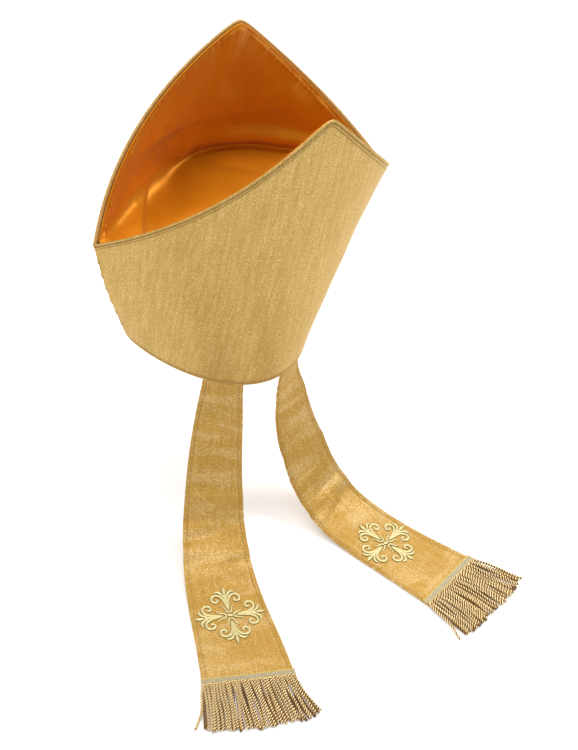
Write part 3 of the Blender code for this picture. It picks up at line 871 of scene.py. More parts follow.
def seam_bulge(places, heights, girth):
    """How far the cloth swells out at the side seams, growing down to each hand stitch."""
    down = (SEAM_TOP_STITCH - heights) / SEAM_STITCH_PITCH
    share = np.mod(down, 1.0)
    away = (1 - np.abs(places)) * girth
    fade = ease(heights / 0.012) * ease((CORNER_HEIGHT - heights) / 0.012)
    return SEAM_SCALLOP * share ** 1.6 * swell(away, SEAM_PULL) * fade


def shield_heights(bottom, top, stretch):
    """Rows up a shield, close together at the hem and along the upper edge."""
    radius = SHIELD_THICKNESS / 2
    hem = np.arange(radius, HEM_STITCH + 0.0020, FINE_ROW)
    edge = np.arange(EDGE_STITCH + 0.0016, radius, -FINE_ROW)
    low = bottom + hem[-1]
    high = top - edge[0] * stretch
    shares = np.linspace(0.0, 1.0, SHIELD_BODY_ROWS + 1)[1:-1]
    rows = [bottom + above for above in hem]
    rows += [low + (high - low) * share for share in shares]
    rows += [top - below * stretch for below in edge]
    rows += [top - radius * stretch]
    return np.stack(rows)


def shield_relief(below, above, edge_run, hem_run, places, heights, girth, seed):
    """How far the outer face sinks in at rolled edges, grooves and needle holes, and the painted shade in its
    grooves and needle holes.
    """
    holes = beat(edge_run, STITCH_PITCH)
    hem_holes = beat(hem_run, STITCH_PITCH)
    relief = bands(HEM_RELIEF, above, hem_holes, bands(EDGE_RELIEF, below, holes))
    calm = ease((below - 0.008) / 0.02) * ease((above - 0.005) / 0.02)
    relief += SHIELD_UNEVENNESS * calm * unevenness(places * girth, heights, 0.045, seed)
    # Painted shade: the grooves and needle holes are darkened in colour, and the crest returned is 1 less
    # this shade
    painted_shade = bands(HEM_PAINTED_SHADE, above, hem_holes, bands(EDGE_PAINTED_SHADE, below, holes))
    return relief, 1 - painted_shade


def make_shield(side, materials, seed):
    """One shield's cloth and the shape of its stitches, with its cut."""
    rim_half, corner_half = half_girths(side)
    places = np.linspace(-1.0, 1.0, SHIELD_COLUMNS + 1)
    top = edge_height(places)
    bottom = RIM_ARCH * places ** 2
    stretch = np.sqrt(1 + np.gradient(top, places * corner_half) ** 2)
    heights = shield_heights(bottom, top, stretch)
    outer, inner = wall_grid(side, places, heights)
    edge_line = wall_points(side, 0.0, places, top)
    hem_line = wall_points(side, 0.0, places, bottom)
    edge_run = travelled_length(edge_line)
    below = (top - heights) / stretch
    above = heights - bottom
    relief, crest = shield_relief(below, above, edge_run, travelled_length(hem_line), places, heights,
                                  corner_half, seed)
    inward = (inner - outer) / SHIELD_THICKNESS
    over = outer + inward * relief[..., None]
    over[..., 0] += np.sign(places) * seam_bulge(places, heights, corner_half)
    hollow = 0.0005 * swell(below - 0.0027, 0.0007) + EDGE_PINCH * swell(below, 0.0030)
    under = inner - inward * hollow[..., None]
    across = places * (rim_half + (corner_half - rim_half) * heights / CORNER_HEIGHT)
    cloth = np.stack([across, heights, np.full(across.shape, 0.1 * seed)], axis=-1)
    loop = lean_back(shell_loop(over, under))
    rows = len(heights)
    turned_rows = rows - np.flatnonzero(below[:, SHIELD_COLUMNS // 4] < TURNED_EDGE)[0]
    slots = np.zeros(len(loop), int)
    slots[rows + 1:rows + 3 + turned_rows] = 2
    slots[rows + 3 + turned_rows:2 * rows + 3] = 1
    crest = loop_cloth(crest)
    # A slight painted shade over the rounded top edge and the back
    crest[rows + 1:2 * rows + 3] = 0.95
    shape = Shape()
    shape.add_grid(loop, loop_cloth(cloth), slots=slots, crest=crest)
    piece = shape.to_piece(side + "_shield_cloth", "shield_cloth", *materials)
    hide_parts(side + "_shield")
    stitching = Shape()
    for distance, start, direction in ((EDGE_STITCH, top, -stretch), (HEM_STITCH, bottom, 1.0)):
        rows_at = start + direction * distance
        face = wall_points(side, STITCH_SEAT, places, rows_at)
        inside = wall_points(side, SHIELD_THICKNESS, places, rows_at)
        add_stitches(stitching, lean_back(face), lean_back(unit(face - inside)))
    cut = {"flat": (2 * corner_half, PEAK_HEIGHT), "area": cloth_area(outer)}
    return piece, stitching, cut


def add_seam_stitches(shape):
    """Short loops of thread over each side seam, between the two shields."""
    bend = np.linspace(0.0, math.pi, 9)
    angles = np.linspace(0.0, 2 * math.pi, 8, endpoint=False)
    for hand in (-1.0, 1.0):
        for stitch in range(SEAM_STITCH_COUNT):
            height = SEAM_TOP_STITCH - stitch * SEAM_STITCH_PITCH
            seat = wall_points("back", 0.0, np.array([hand]), np.array([height]))[0]
            centre = seat + np.array([hand * 0.0001, -PIECE_GAP / 2, 0.0004])
            out = unit(np.array([hand, 0.0, 0.25]))
            side = np.array([0.0, 1.0, 0.0])
            path = centre + np.cos(bend)[:, None] * side * SEAM_LOOP_HALF
            path += np.sin(bend)[:, None] * out * SEAM_LOOP_RISE
            ahead = unit(np.gradient(path, axis=0))
            upright = np.cross(out, side)
            around = np.cross(ahead, upright)
            ring = np.cos(angles)[:, None, None] * around[None] + np.sin(angles)[:, None, None] * upright
            points = path[None] + SEAM_THREAD_RADIUS * ring
            turned = angles[:, None] * SEAM_THREAD_RADIUS
            cloth = np.stack(np.broadcast_arrays(turned, bend[None] * 0.002, height), axis=-1)
            shape.add_grid(lean_back(points), cloth)


# Lining

def wall_fold(side, places, heights):
    """How far the lining stands off a wall at its soft rolls."""
    half_girth = CORNER_SPAN / 2
    stand = np.zeros(np.broadcast(places, heights).shape)
    for wall, from_place, from_height, to_place, to_height, rise, breadth in WALL_FOLDS:
        if wall == side:
            start = (from_place * half_girth, from_height * CORNER_HEIGHT)
            end = (to_place * half_girth, to_height * CORNER_HEIGHT)
            away = distance_to_segment(places * half_girth, heights, start, end)
            stand += rise * WALL_FOLD * swell(away, breadth * FOLD_WIDTH)
    return stand


def valley_fold(points):
    """How far the folds that cross the valley lift it."""
    lift = np.zeros(len(points))
    for from_x, from_y, to_x, to_y, rise, breadth in VALLEY_FOLDS:
        start = (from_x * CORNER_SPAN / 2, from_y * CORNER_DEPTH["back"])
        end = (to_x * CORNER_SPAN / 2, to_y * CORNER_DEPTH["back"])
        away = distance_to_segment(points[:, 0], points[:, 1], start, end)
        lift += rise * VALLEY_FOLD * swell(away, breadth * FOLD_WIDTH)
    return lift


def soften(points, radius):
    """Round a polyline's corners: an even average over the radius, with its ends kept."""
    reach = max(int(round(radius / PROFILE_STEP)), 1)
    before = 2 * points[0] - points[reach:0:-1]
    after = 2 * points[-1] - points[-2:-reach - 2:-1]
    padded = np.vstack([before, points, after])
    weights = np.hanning(2 * reach + 3)[1:-1]
    weights = weights / weights.sum()
    return np.stack([np.convolve(padded[:, axis], weights, mode="valid") for axis in range(3)], axis=-1)


def slackness(place):
    """How slack the lining is at its creases: crisp on the right, slack on the left."""
    return LEAST_SLACK + (1 - LEAST_SLACK) * float(ease((place - SLACK_START) / SLACK_SPAN))


def round_corner(before, after, reach):
    """Two lines that meet, with the corner between them cut by a soft curve."""
    along = max(line_length(before) - reach, 0.0)
    lengths = travelled_length(before)
    kept = before[lengths < along]
    start = along_line(before, [along])[0]
    end = along_line(after, [reach])[0]
    share = np.linspace(0.0, 1.0, CORNER_STEPS)[:, None]
    curve = (1 - share) ** 2 * start + 2 * share * (1 - share) * before[-1] + share ** 2 * end
    return np.vstack([kept, curve, after[travelled_length(after) > reach]])


def lining_profile(place):
    """The lining's underside at one place: down the front wall, over the valley, up the back wall."""
    table = np.array(LINING_SECTIONS)
    middle, front_crease, back_crease = (
        float(smooth_curve(table[:, 0], table[:, column], place)) * CORNER_HEIGHT for column in (1, 2, 3))
    top = float(edge_height(place)) - LINING_EDGE_DROP
    under = SHIELD_THICKNESS + PIECE_GAP
    walls = []
    for side, crease in (("front", front_crease), ("back", back_crease)):
        heights = np.linspace(top, crease, max(int((top - crease) / PROFILE_STEP), 4))
        places = np.full(heights.shape, place)
        against = wall_points(side, under, places, heights)
        stood = wall_points(side, under + WALL_FOLD, places, heights)
        share = wall_fold(side, places, heights) * ease((top - heights) / (2 * FOLD_WIDTH)) / WALL_FOLD
        walls.append(against + (stood - against) * share[:, None])
    start = walls[0][-1]
    end = walls[1][-1]
    across = np.linspace(0.0, 1.0, max(int(np.linalg.norm(end - start) / PROFILE_STEP), 4))
    valley = start + (end - start) * across[:, None]
    slack = slackness(place)
    dome = (1 - slack) * 4 * across * (1 - across) + slack * np.sin(math.pi * across) ** 2
    valley[:, 2] += dome * (middle - (start[2] + end[2]) / 2)
    valley[:, 2] += valley_fold(valley) * 4 * across * (1 - across)
    wall_lengths = [line_length(wall) for wall in walls]
    cut = min(CREASE_SLACK * slack, 0.45 * wall_lengths[0], 0.3 * line_length(valley))
    inner = np.vstack([valley, walls[1][::-1][1:]])
    sharp = round_corner(walls[0], inner, cut) if cut > PROFILE_STEP else np.vstack([walls[0], inner[1:]])
    even = along_line(sharp, np.arange(0.0, line_length(sharp), PROFILE_STEP))
    bend = min(CREASE_RADIUS, wall_lengths[0], wall_lengths[1])
    return soften(even, bend), [wall_lengths[0] - 0.28 * cut, wall_lengths[1]]


def profile_rows(profile, wall_lengths):
    """Rows of one profile, closer together at its sewn ends and round its two creases."""
    whole = line_length(profile)
    front, back = wall_lengths[0], whole - wall_lengths[1]
    bend = min(1.6 * CREASE_RADIUS, front / 3, wall_lengths[1] / 3, (back - front) / 4)
    sewn = min(0.010, front / 4, wall_lengths[1] / 4)
    knots = [(0.0, sewn, 12), (sewn, front - bend, 22), (front - bend, front + bend, 14),
             (front + bend, back - bend, 24), (back - bend, back + bend, 12), (back + bend, whole - sewn, 18)]
    rows = [np.linspace(low, high, count, endpoint=False) for low, high, count in knots]
    rows.append(np.linspace(whole - sewn, whole, 11))
    rows = np.concatenate(rows)
    return along_line(profile, rows), rows, whole


def lining_folds(places, above_crease, girth):
    """Height of the lining's folds: lines on it whose rise and breadths change along them."""
    x = places * girth
    total = np.zeros(x.shape)
    for table in LINING_FOLDS.values():
        line = smooth_path(np.array(table) * (girth, 1.0, 1.0, 1.0, 1.0), FOLD_STEPS)
        away = np.full(x.shape, 1.0)
        height = np.zeros(x.shape)
        for start, end in zip(line[:-1], line[1:]):
            run = (end - start)[:2]
            share = ((x - start[0]) * run[0] + (above_crease - start[1]) * run[1]) / (run @ run)
            share = np.clip(share, 0.0, 1.0)
            gap_x = x - start[0] - share * run[0]
            gap_y = above_crease - start[1] - share * run[1]
            gap = np.hypot(gap_x, gap_y)
            over = (gap_x * run[1] - gap_y * run[0]) / np.hypot(*run) * np.sign(line[0, 0] - line[-1, 0])
            rise, upper, lower = (start[column] + share * (end - start)[column] for column in (2, 3, 4))
            breadth = lower + (upper - lower) * ease(0.5 + over / 0.004)
            nearer = gap < away
            away = np.where(nearer, gap, away)
            height = np.where(nearer, rise * swell(gap, breadth), height)
        total += height
    return total


def make_lining(material):
    """The lining's satin and the shape of its stitches, with its cut."""
    places = np.linspace(-LINING_REACH, LINING_REACH, LINING_COLUMNS + 1)
    profiles = [lining_profile(place) for place in places]
    columns = [profile_rows(*profile) for profile in profiles]
    fronts = [wall_lengths[0] for _, wall_lengths in profiles]
    under = np.stack([points for points, _, _ in columns], axis=1)
    run = np.stack([rows for _, rows, _ in columns], axis=1)
    whole = np.array([length for _, _, length in columns])
    girth = half_girths("front")[1]
    edge_run = places * girth * 1.25 + np.zeros(run.shape)
    from_edge = np.minimum(run, whole - run)
    front_wall = run < whole / 2
    slant = np.where(front_wall, GATHER_SLANT, -GATHER_SLANT) * np.clip(places / 0.10, -1.0, 1.0)
    slanted = edge_run + slant * from_edge
    raised = np.zeros(run.shape)
    for rise, fade, size, shift, seed in EDGE_GATHERS:
        gathers = 1 + unevenness(slanted, front_wall * shift, size, seed)
        raised += rise * np.exp(-from_edge / fade) * gathers
    raised += LINING_UNEVENNESS * ease(from_edge / 0.030) * (1 + unevenness(edge_run, run, 0.055, 8))
    held = ease((from_edge - 0.0010) / 0.0040)
    beads = 0.6 + 0.4 * np.cos(2 * math.pi * edge_run / STITCH_PITCH)
    roll = LINING_ROLL * beads * swell(from_edge - 0.0010, 0.0011)
    groove = -LINING_GROOVE * swell(from_edge - LINING_STITCH, 0.0006)
    folds = lining_folds(np.broadcast_to(places, run.shape), np.array(fronts) - run, girth)
    folds = folds * ease(from_edge / 0.016) * ease((1 - np.abs(places)) / 0.12)
    lift = raised * held + folds
    normals = sheet_normals(under)
    middle = under.shape[0] // 2
    if normals[middle, under.shape[1] // 2, 2] < 0:
        normals = -normals
    back_face = under + normals * (0.9 * lift)[..., None]
    face = under + normals * (LINING_THICKNESS + lift + roll + groove)[..., None]
    cloth = np.stack([places * girth + np.zeros(run.shape), run, np.zeros(run.shape)], axis=-1)
    shape = Shape()
    shape.add_grid(lean_back(shell_loop(face, back_face)), loop_cloth(cloth))
    piece = shape.to_piece("lining_satin", "lining_satin", material)
    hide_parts("lining_gusset")
    stitching = Shape()
    for from_end in (False, True):
        lines = []
        for points, length in zip(np.moveaxis(face, 1, 0), whole):
            at = length - LINING_STITCH if from_end else LINING_STITCH
            lines.append(along_line(points, [min(at, line_length(points))])[0])
        seat = whole[LINING_COLUMNS // 2] - LINING_STITCH if from_end else LINING_STITCH
        row = int(np.argmin(np.abs(run[:, LINING_COLUMNS // 2] - seat)))
        add_stitches(stitching, lean_back(np.array(lines)), lean_back(normals[row]))
    cut = {"flat": (2 * girth * LINING_REACH, float(whole.max())), "area": cloth_area(under)}
    return piece, stitching, cut


# Lappets

def lappet_top(side, lengths, across):
    """The lappet's middle surface where it follows the inside of the back shield."""
    rim_half, _ = half_girths("back")
    places = (LAPPETS[side]["offset"] + across) / rim_half
    inset = SHIELD_THICKNESS + PIECE_GAP + LAPPET_THICKNESS / 2
    return lean_back(wall_points("back", inset, places, -lengths))


def landing_factor(slope, drop):
    """The factor on a route's slopes that brings its end down to the surface, by halving."""
    low, high = 0.0, 2.0
    for _ in range(40):
        factor = (low + high) / 2
        if np.sin(slope[:-1] * factor).sum() * ROUTE_STEP > drop:
            high = factor
        else:
            low = factor
    return factor


def lappet_route(side):
    """Middle line of a lappet below the rim, with its width direction and its face's normal."""
    table = np.array(LAPPET_FALL[side])
    start = lappet_top(side, np.zeros(1), np.zeros(1))[0]
    surface = -REST_DROP + LAPPET_THICKNESS / 2
    drop = start[2] - surface
    hanging = LAPPET_LENGTH - LAPPETS[side]["tuck"]
    lengths = np.arange(0.0, hanging + 2 * FRINGE_LENGTH, ROUTE_STEP)
    heading = np.radians(smooth_curve(table[:, 0] * drop, table[:, 1], lengths))
    slope = np.radians(smooth_curve(table[:, 0] * drop, table[:, 2], lengths)).clip(0.0)
    slope = slope * landing_factor(slope, drop)
    roll = np.radians(smooth_curve(table[:, 0] * drop, table[:, 3], lengths))[:, None]
    level_run = np.cos(slope)
    travel = np.stack([np.cos(heading) * level_run, np.sin(heading) * level_run, -np.sin(slope)], axis=-1)
    middle = start + np.vstack([np.zeros(3), np.cumsum(travel[:-1] * ROUTE_STEP, axis=0)])
    level = np.stack([-np.sin(heading), np.cos(heading), np.zeros(len(heading))], axis=-1)
    upright = np.cross(travel, level)
    width = level * np.cos(roll) + upright * np.sin(roll)
    normal = upright * np.cos(roll) - level * np.sin(roll)
    for place, rise, breadth in LAPPET_WAVES[side]:
        ripple = swell(lengths - place * LAPPET_LENGTH, breadth * LAPPET_LENGTH)
        middle = middle + normal * (rise * LAPPET_WAVE * ripple)[:, None]
    return {"side": side, "lengths": lengths, "middle": middle, "width": width, "normal": normal,
            "hanging": hanging}


def on_lappet(route, lengths, across, lift):
    """Points of the free part of a lappet, lifted from its middle surface."""
    middle, width, normal = (read_rows(lengths, route["lengths"], route[key])
                             for key in ("middle", "width", "normal"))
    return middle + width * np.asarray(across)[..., None] + normal * np.asarray(lift)[..., None]


def lappet_width(lengths, tuck):
    """Width of the cut at each length below the rim."""
    share = (lengths + tuck) / LAPPET_LENGTH
    return LAPPET_TOP_WIDTH + (LAPPET_END_WIDTH - LAPPET_TOP_WIDTH) * share


def lappet_creases(side, lengths, across, half):
    """Height of the small creases and of the cloth's slack, fading out where it lies flat."""
    total = np.zeros(lengths.shape)
    for from_place, from_across, to_place, to_across, rise, breadth in LAPPET_CREASES[side]:
        start = (from_place * LAPPET_LENGTH, from_across * CREASE_HALF_WIDTH)
        end = (to_place * LAPPET_LENGTH, to_across * CREASE_HALF_WIDTH)
        away = distance_to_segment(lengths, across, start, end)
        total += CREASE_RISE * rise * swell(away, CREASE_BREADTH * breadth)
    share = lengths / LAPPET_LENGTH
    loose = ease(share / 0.15) * (1 - 0.7 * ease((share - LAPPET_LIES_FROM) / 0.12))
    seed = {"left": 21, "right": 22}[side]
    total += 0.00040 * loose * unevenness(across * 0.7, lengths, 0.020, seed)
    total += 0.00008 * unevenness(across, lengths, 0.009, seed + 5)
    edge = ease((half - np.abs(across)) / 0.008)
    return total * (0.35 + 0.65 * edge) * ease((lengths - 0.004) / 0.02)


def make_lappet(route, material):
    """One lappet's cloth and the shape of its stitches."""
    side = route["side"]
    tuck = LAPPETS[side]["tuck"]
    lengths = np.linspace(-tuck, route["hanging"] + HEADER_SHIFT, LAPPET_COLUMNS + 1)[None, :]
    half = lappet_width(lengths, tuck) / 2
    radius = LAPPET_THICKNESS / 2
    near_edge = np.arange(radius, LAPPET_STITCH + 0.0012, FINE_ROW)
    body = np.linspace(-1.0, 1.0, LAPPET_BODY_ROWS + 1)[1:-1]
    inner = half - near_edge[-1]
    rows = [-half + distance for distance in near_edge]
    rows += [inner * share for share in body]
    rows += [half - distance for distance in near_edge[::-1]]
    across = np.concatenate(rows)
    lengths = np.broadcast_to(lengths, across.shape)
    half = np.broadcast_to(half, across.shape)
    # Places on the wall run towards +X, and the free strip's width runs towards -X
    sewn = lappet_top(side, lengths, -across)
    free = on_lappet(route, lengths.clip(0.0), across, np.zeros(across.shape))
    blend = ease(lengths / LAPPET_BLEND)[..., None]
    middle = sewn * (1 - blend) + free * blend
    normals = sheet_normals(middle)
    outward = np.interp(lengths, route["lengths"], route["normal"][:, 2])
    centre = (len(across) // 2, LAPPET_COLUMNS - 1)
    if normals[centre][2] * outward[centre] < 0:
        normals = -normals
    from_edge = half - np.abs(across)
    holes = beat(lengths, STITCH_PITCH)
    relief = bands(LAPPET_RELIEF, from_edge, holes)
    # Painted shade in the groove by the edge, strong along the right lappet's edge where across is negative,
    # and in the needle holes
    groove_shade = np.where((across < 0) & (side == "right"), 0.85, 0.12)
    painted_shade = bands(LAPPET_PAINTED_SHADE, from_edge, holes, groove_shade * swell(from_edge - LAPPET_GROOVE, 0.0005))
    creases = lappet_creases(side, lengths, across, half)
    resting = ease((lengths - LAPPET_LIES_FROM * LAPPET_LENGTH) / 0.03)
    shift = creases * (1 - resting) + creases.clip(0.0) * resting
    over = middle + normals * (radius + relief + shift)[..., None]
    under = middle + normals * (-radius + shift)[..., None]
    cloth = np.stack([across, lengths, np.full(across.shape, {"left": 1.0, "right": 2.0}[side])], axis=-1)
    shape = Shape()
    shape.add_grid(shell_loop(over, under), loop_cloth(cloth), crest=loop_cloth(1 - painted_shade))
    piece = shape.to_piece("lappet_" + side + "_cloth", "lappet_cloth", material)
    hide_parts("lappet_" + side)
    stitching = Shape()
    hole_row = int(np.argmin(np.abs(near_edge - LAPPET_STITCH)))
    for row in (hole_row, len(over) - 1 - hole_row):
        add_stitches(stitching, over[row], normals[row])
    if side == "left":
        add_bar_tack(stitching, over, normals, lengths, across, half)
    return piece, stitching


def add_bar_tack(shape, face, normals, lengths, across, half):
    """A small patch of close stitches at the lappet's upper corner."""
    columns = np.flatnonzero((lengths[0] > 0.008) & (lengths[0] < 0.021))
    for column in columns:
        inset = half[:, column] + across[:, column]
        rows = np.flatnonzero((inset > 0.0022) & (inset < 0.0110))
        line = face[rows, column]
        add_stitches(shape, line, normals[rows, column], pitch=0.0030, length=0.0025, radius=0.00022)


# Crosses

def add_stroke(shape, route, centre, points, widths, turn, mark):
    """One padded satin stitch: a domed band whose threads run across it."""
    half_span = CROSS_SPAN / 2
    rough_length = travelled_length(np.asarray(points, float))[-1] * half_span
    count = 2 * max(int(rough_length / THREAD_PITCH), 4) + 1
    table = np.column_stack([points, widths])
    path = smooth_path(table, count)
    flat = path[:, :2] * half_span
    half = path[:, 2] * half_span / 2
    ahead = unit(np.gradient(flat, axis=0))
    side = np.stack([-ahead[:, 1], ahead[:, 0]], axis=-1)
    shares = np.linspace(-1.0, 1.0, 9)
    dome = np.sqrt((1 - 0.96 * shares ** 2))
    thread = np.where(np.arange(count) % 2 == 0, 1.0, 0.80)
    ends = ease(np.minimum(np.arange(count), np.arange(count)[::-1]) / 3.0 + 0.25)
    padding = CROSS_PADDING * (0.45 + 0.55 * np.clip(half / 0.0014, 0.0, 1.0)) * thread * ends
    top = flat[None] + side[None] * (half[None] * shares[:, None])[..., None]
    top_lift = dome[:, None] * padding[None]
    bottom = top[::-1][[0, 8]]
    plane = np.concatenate([top, bottom])
    lift = np.concatenate([top_lift, np.zeros((2, count))]) + LAPPET_THICKNESS / 2 + PIECE_GAP
    turned = plane @ np.array([[math.cos(turn), math.sin(turn)], [-math.sin(turn), math.cos(turn)]])
    world = on_lappet(route, centre + turned[..., 1], turned[..., 0], lift)
    ring = np.concatenate([shares, shares[::-1][[0, 8]]])[:, None] * half[None]
    run = np.broadcast_to(travelled_length(flat)[None], ring.shape)
    cloth = np.stack([ring, run, np.full(ring.shape, 0.01 * mark)], axis=-1)
    # Painted shade along the stroke's edges and on every other thread, and painted highlight along its
    # middle, carried by crest
    crest = np.concatenate([(1 - shares ** 4)[:, None] * thread[None], np.zeros((2, count))])
    shape.add_grid(world, cloth, crest=crest)


def make_cross(route, material):
    """A cross with a lily at the end of each arm, in raised satin stitch."""
    shape = Shape()
    centre = route["hanging"] - CROSS_ABOVE_HEADER
    mark = 0
    for quarter in range(4):
        for mirrored, points, widths in CROSS_STROKES:
            for hand in ((1.0, -1.0) if mirrored else (1.0,)):
                mark += 1
                placed = [(hand * across, along) for across, along in points]
                add_stroke(shape, route, centre, placed, widths, quarter * math.pi / 2, mark)
    length, width = CROSS_BEAD
    bead = [(-length, 0.0), (0.0, 0.0), (length, 0.0)]
    add_stroke(shape, route, centre, bead, [width, 2 * width, width], BEAD_TURN, 0)
    piece = shape.to_piece("cross_" + route["side"] + "_embroidery", "cross_thread", material)
    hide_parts("cross_" + route["side"])
    return piece


# Fringes

def cord_section():
    """Angles and radii round a cord of two twisted strands."""
    angles = np.linspace(0.0, 2 * math.pi, CORD_SIDES, endpoint=False)
    toward = np.abs(np.cos(angles))
    radii = CORD_HELIX * toward + np.sqrt(CORD_LOBE ** 2 - CORD_HELIX ** 2 * (1 - toward ** 2))
    return angles, radii


def add_cord(shape, route, root, tip, reach, sway, layer, phase, mark):
    """One twisted cord, from inside the header to where it lies; layer is how high it lies on others."""
    angles, radii = cord_section()
    share = np.linspace(0.0, 1.0, CORD_RINGS)
    start = route["hanging"] + HEADER_SHIFT + HEADER_OVERHANG - CORD_TUCK
    lengths = start + share * (reach - HEADER_SHIFT + CORD_TUCK)
    across = root + (tip - root) * (0.6 * share + 0.4 * share ** 2)
    across = across + sway[0] * np.sin(math.pi * share) ** 2 + sway[1] * np.sin(2 * math.pi * share)
    radius = radii.max()
    seated = LAPPET_THICKNESS / 2 + PIECE_GAP + 0.0003 + 0.25 * layer
    resting = -LAPPET_THICKNESS / 2 + radius
    settled = ease(share / 0.25)
    hump = layer * (1 - 0.75 * ease((share - 0.55) / 0.45))
    lift = seated * (1 - settled) + (resting + hump) * settled
    knob = 1 + 0.12 * swell(share - 0.955, 0.022)
    taper = knob * np.sqrt(np.clip(1 - ((share - 0.965) / 0.036).clip(0.0) ** 2, 0.04, 1.0))
    length = math.hypot(reach, tip - root)
    turned = angles[:, None] + (phase + 2 * math.pi * share * length / CORD_TWIST)[None]
    spread = radii[:, None] * taper[None]
    points = on_lappet(route, np.broadcast_to(lengths, turned.shape), across + spread * np.cos(turned),
                       lift + spread * np.sin(turned))
    still = np.zeros(turned.shape)
    cloth = np.stack([angles[:, None] * radius + still, share[None] * length + still, still + 0.05 * mark],
                     axis=-1)
    # Painted shade in the hollows between the two strands and painted highlight on their crests; the under
    # layer's cords are darker still, painted shade beneath the upper cords
    crest = ((radii - radii.min()) / (radii.max() - radii.min())) ** 1.4
    shape.add_grid(points, cloth, crest=(crest * (0.42 if layer < 0.001 else 1.0))[:, None])


def make_fringe(route, material, seed):
    """Twisted cords in an under and an upper layer, swaying a little and crossing one another."""
    draws = np.random.default_rng(seed)
    table = np.array(FRINGE_FALL[route["side"]])
    shape = Shape()
    half = LAPPET_END_WIDTH / 2
    pitch = 2 * half / CORD_COUNT
    clump = draws.uniform(0.0, 2 * math.pi, len(CLUMP_WAVES))
    for offset, layers in ((0.1, [0.0, 0.0005]), (0.6, [0.0014, 0.0022, 0.0030])):
        for cord in range(CORD_COUNT):
            root = -half + (cord + offset) * pitch
            drift = 0.0004 * sum(math.sin(wave * root / half + turn)
                                 for wave, turn in zip(CLUMP_WAVES, clump))
            tip = float(smooth_curve(table[:, 0], table[:, 1], root)) + drift + draws.normal(0.0, 0.0006)
            reach = float(smooth_curve(table[:, 0], table[:, 2], root)) * draws.uniform(0.98, 1.07)
            sway = (0.5 * drift + draws.normal(0.0, 0.0009), draws.normal(0.0, 0.0005))
            layer = layers[int(draws.integers(len(layers)))]
            add_cord(shape, route, root, tip, reach, sway, layer, draws.uniform(0.0, 2 * math.pi), cord)
    root, tip, reach = STRAY_CORDS[route["side"]]
    add_cord(shape, route, root, tip, reach, (0.0012, -0.0008), 0.0011, 0.0, STRAY_MARK)
    piece = shape.to_piece("fringe_" + route["side"] + "_cords", "fringe_thread", material)
    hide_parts("fringe_" + route["side"])
    return piece


def make_header(route, materials):
    """The woven band over the cords' roots, with a chain of thread along both edges."""
    half = LAPPET_END_WIDTH / 2 + 0.0004
    seat = LAPPET_THICKNESS / 2 + PIECE_GAP
    start = route["hanging"] + HEADER_SHIFT + HEADER_OVERHANG - HEADER_HEIGHT
    up = np.linspace(0.0002, HEADER_HEIGHT - 0.0002, 20)[:, None]
    across = np.linspace(-half, half, 230)[None, :]
    beads = beat(across / 0.0021 + up * 200)
    top_chain = swell(up - 0.0008, 0.0006) * beads
    low_chain = swell(up - HEADER_HEIGHT + 0.0008, 0.0007) * beads[:, ::-1]
    streaks = beat(up - HEADER_HEIGHT / 2, HEADER_ROW)
    ticks = beat(across / 0.0022 + 0.5 * np.round(up / HEADER_ROW))
    inside = ease((up - 0.0013) / 0.0005) * ease((HEADER_HEIGHT - 0.0014 - up) / 0.0005)
    relief = HEADER_CHAIN * (top_chain + low_chain) + HEADER_WEAVE * streaks * ticks * inside
    up, across = np.broadcast_arrays(up, across)
    face = on_lappet(route, start + up, across, seat + HEADER_THICKNESS - HEADER_SINK + relief)
    back = on_lappet(route, start + up, across, np.full(up.shape, seat))
    cloth = np.stack([across, up, np.full(up.shape, 3.0)], axis=-1)
    # Painted shade in the hollows of the chains and the weave, painted highlight on their raised threads
    crest = 0.05 + 0.95 * relief / (HEADER_CHAIN * (1 - inside) + HEADER_WEAVE * inside)
    crest = loop_cloth(crest.clip(0.0, 1.0))
    slots = loop_cloth(((up[:, 0] > 0.0015) & (up[:, 0] < HEADER_HEIGHT - 0.0016)).astype(int))
    slots[len(up):] = 0
    shape = Shape()
    shape.add_grid(shell_loop(face, back), loop_cloth(cloth), crest=crest, slots=slots)
    return shape.to_piece("fringe_" + route["side"] + "_header", "fringe_thread", *materials)


# Studio

def add_floor():
    """A plain pale floor just under the lappets."""
    level = cad_box[0][2] - 0.0003
    bpy.ops.mesh.primitive_plane_add(size=24.0, location=(0.0, 0.0, level))
    floor = bpy.context.object
    floor.name = "floor"
    surface = Surface("pale_floor")
    place = surface.node("ShaderNodeTexCoord").outputs["Object"]
    tone = surface.noise(place, 2.0, 0.55, 0.8)
    color = surface.ramp(tone, [(0.3, (0.86, 0.86, 0.86)), (0.7, (0.90, 0.90, 0.90))])
    floor.data.materials.append(surface.finish(base_color=color, roughness=0.7, emission_color=WHITE,
                                               emission_strength=0.22))


def add_light(name, place, target, size, power):
    """A round white softbox turned towards its target."""
    data = bpy.data.lights.new(name, "AREA")
    data.shape = "DISK"
    data.size = size
    data.energy = power
    light = bpy.data.objects.new(name, data)
    light.location = place
    light.rotation_euler = (Vector(target) - Vector(place)).to_track_quat("-Z", "Y").to_euler()
    bpy.context.scene.collection.objects.link(light)


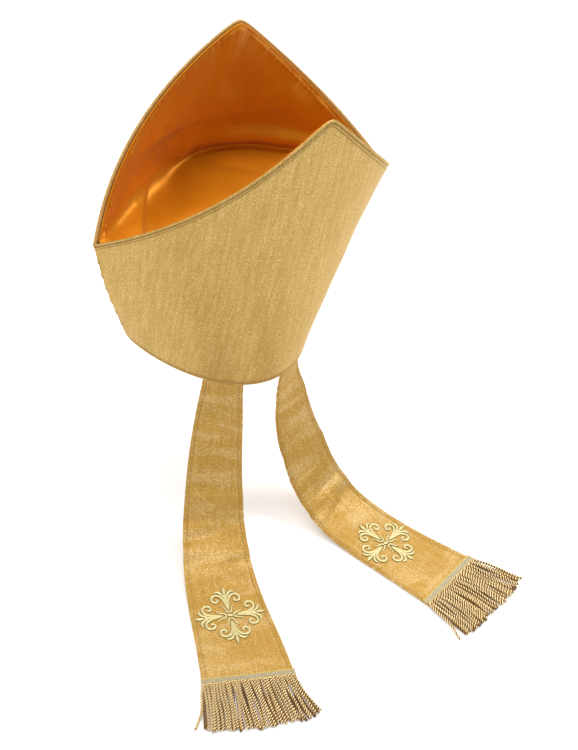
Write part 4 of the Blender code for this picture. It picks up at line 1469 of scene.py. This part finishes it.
def add_camera():
    """The camera at its measured place, turned by azimuth, elevation and roll."""
    away = Vector((math.sin(CAMERA_AZIMUTH) * math.cos(CAMERA_ELEVATION),
                   -math.cos(CAMERA_AZIMUTH) * math.cos(CAMERA_ELEVATION), math.sin(CAMERA_ELEVATION)))
    level = Vector((0.0, 0.0, 1.0)).cross(away).normalized()
    upright = away.cross(level)
    right = level * math.cos(CAMERA_ROLL) - upright * math.sin(CAMERA_ROLL)
    up = upright * math.cos(CAMERA_ROLL) + level * math.sin(CAMERA_ROLL)
    data = bpy.data.cameras.new("camera")
    data.sensor_fit = "VERTICAL"
    data.sensor_height = CAMERA_SENSOR
    data.lens = CAMERA_LENS
    camera = bpy.data.objects.new("camera", data)
    camera.matrix_world = Matrix.Translation(CAMERA_PLACE) @ Matrix((right, up, away)).transposed().to_4x4()
    bpy.context.scene.collection.objects.link(camera)
    bpy.context.scene.camera = camera


def add_studio():
    """The floor, an even pale sky and the softboxes."""
    add_floor()
    world = bpy.data.worlds.new("studio")
    world.use_nodes = True
    sky = world.node_tree.nodes["Background"]
    sky.inputs["Color"].default_value = WHITE
    sky.inputs["Strength"].default_value = SKY_STRENGTH
    bpy.context.scene.world = world
    for softbox in SOFTBOXES:
        add_light(*softbox)
    bpy.context.scene.view_settings.view_transform = "Standard"


def build():
    """The whole mitre in its studio, piece by piece."""
    shield_gold = lame_material("gold_lame", (0.37, 0.225, 0.052), (0.46, 0.292, 0.078), (0.70, 0.51, 0.23),
                                (0.24, 0.125, 0.028))
    # The turned edge's lamé is rougher and less metallic; its lighter colours are painted light that lifts
    # the turned edge out of shade
    turned_edge = lame_material("turned_lame", (0.42, 0.235, 0.070), (0.55, 0.330, 0.105), (0.70, 0.46, 0.18),
                                (0.26, 0.120, 0.026), roughness=0.60, metallic=0.10)
    lappet_gold = lame_material("lappet_lame", (0.37, 0.200, 0.028), (0.47, 0.268, 0.048), (0.64, 0.42, 0.13),
                                (0.23, 0.100, 0.012), glitter=0.55, crossed=0.5, roughness=0.56,
                                metallic=0.35)
    satin = satin_material("orange_satin", (0.49, 0.150, 0.002), (0.56, 0.180, 0.003), (0.63, 0.225, 0.008))
    thread = {name: thread_material(name, *looks) for name, looks in THREAD_COLORS.items()}
    pale_thread = embroidery_material("pale_thread", (0.24, 0.18, 0.045), (0.62, 0.52, 0.21),
                                      (0.88, 0.80, 0.46))

    for side, seed in (("front", 1), ("back", 2)):
        shield, stitching, cut = make_shield(side, [shield_gold, satin, turned_edge], seed)
        if side == "back":
            add_seam_stitches(stitching)
        stitches = stitching.to_piece(side + "_shield_stitches", "shield_cloth", thread["gold_thread"])

    lining, stitching, cut = make_lining(satin)
    lining_stitches = stitching.to_piece("lining_stitches", "lining_satin", thread["satin_thread"])

    for side, seed in (("left", 11), ("right", 12)):
        route = lappet_route(side)
        lappet, stitching = make_lappet(route, lappet_gold)
        stitches = stitching.to_piece("lappet_" + side + "_stitches", "lappet_cloth", thread["gold_thread"])
        cross = make_cross(route, pale_thread)
        cords = make_fringe(route, thread["bullion"], seed)
        header = make_header(route, [thread["yellow_thread"], thread["silver_thread"]])
    add_camera()
    add_studio()


build()
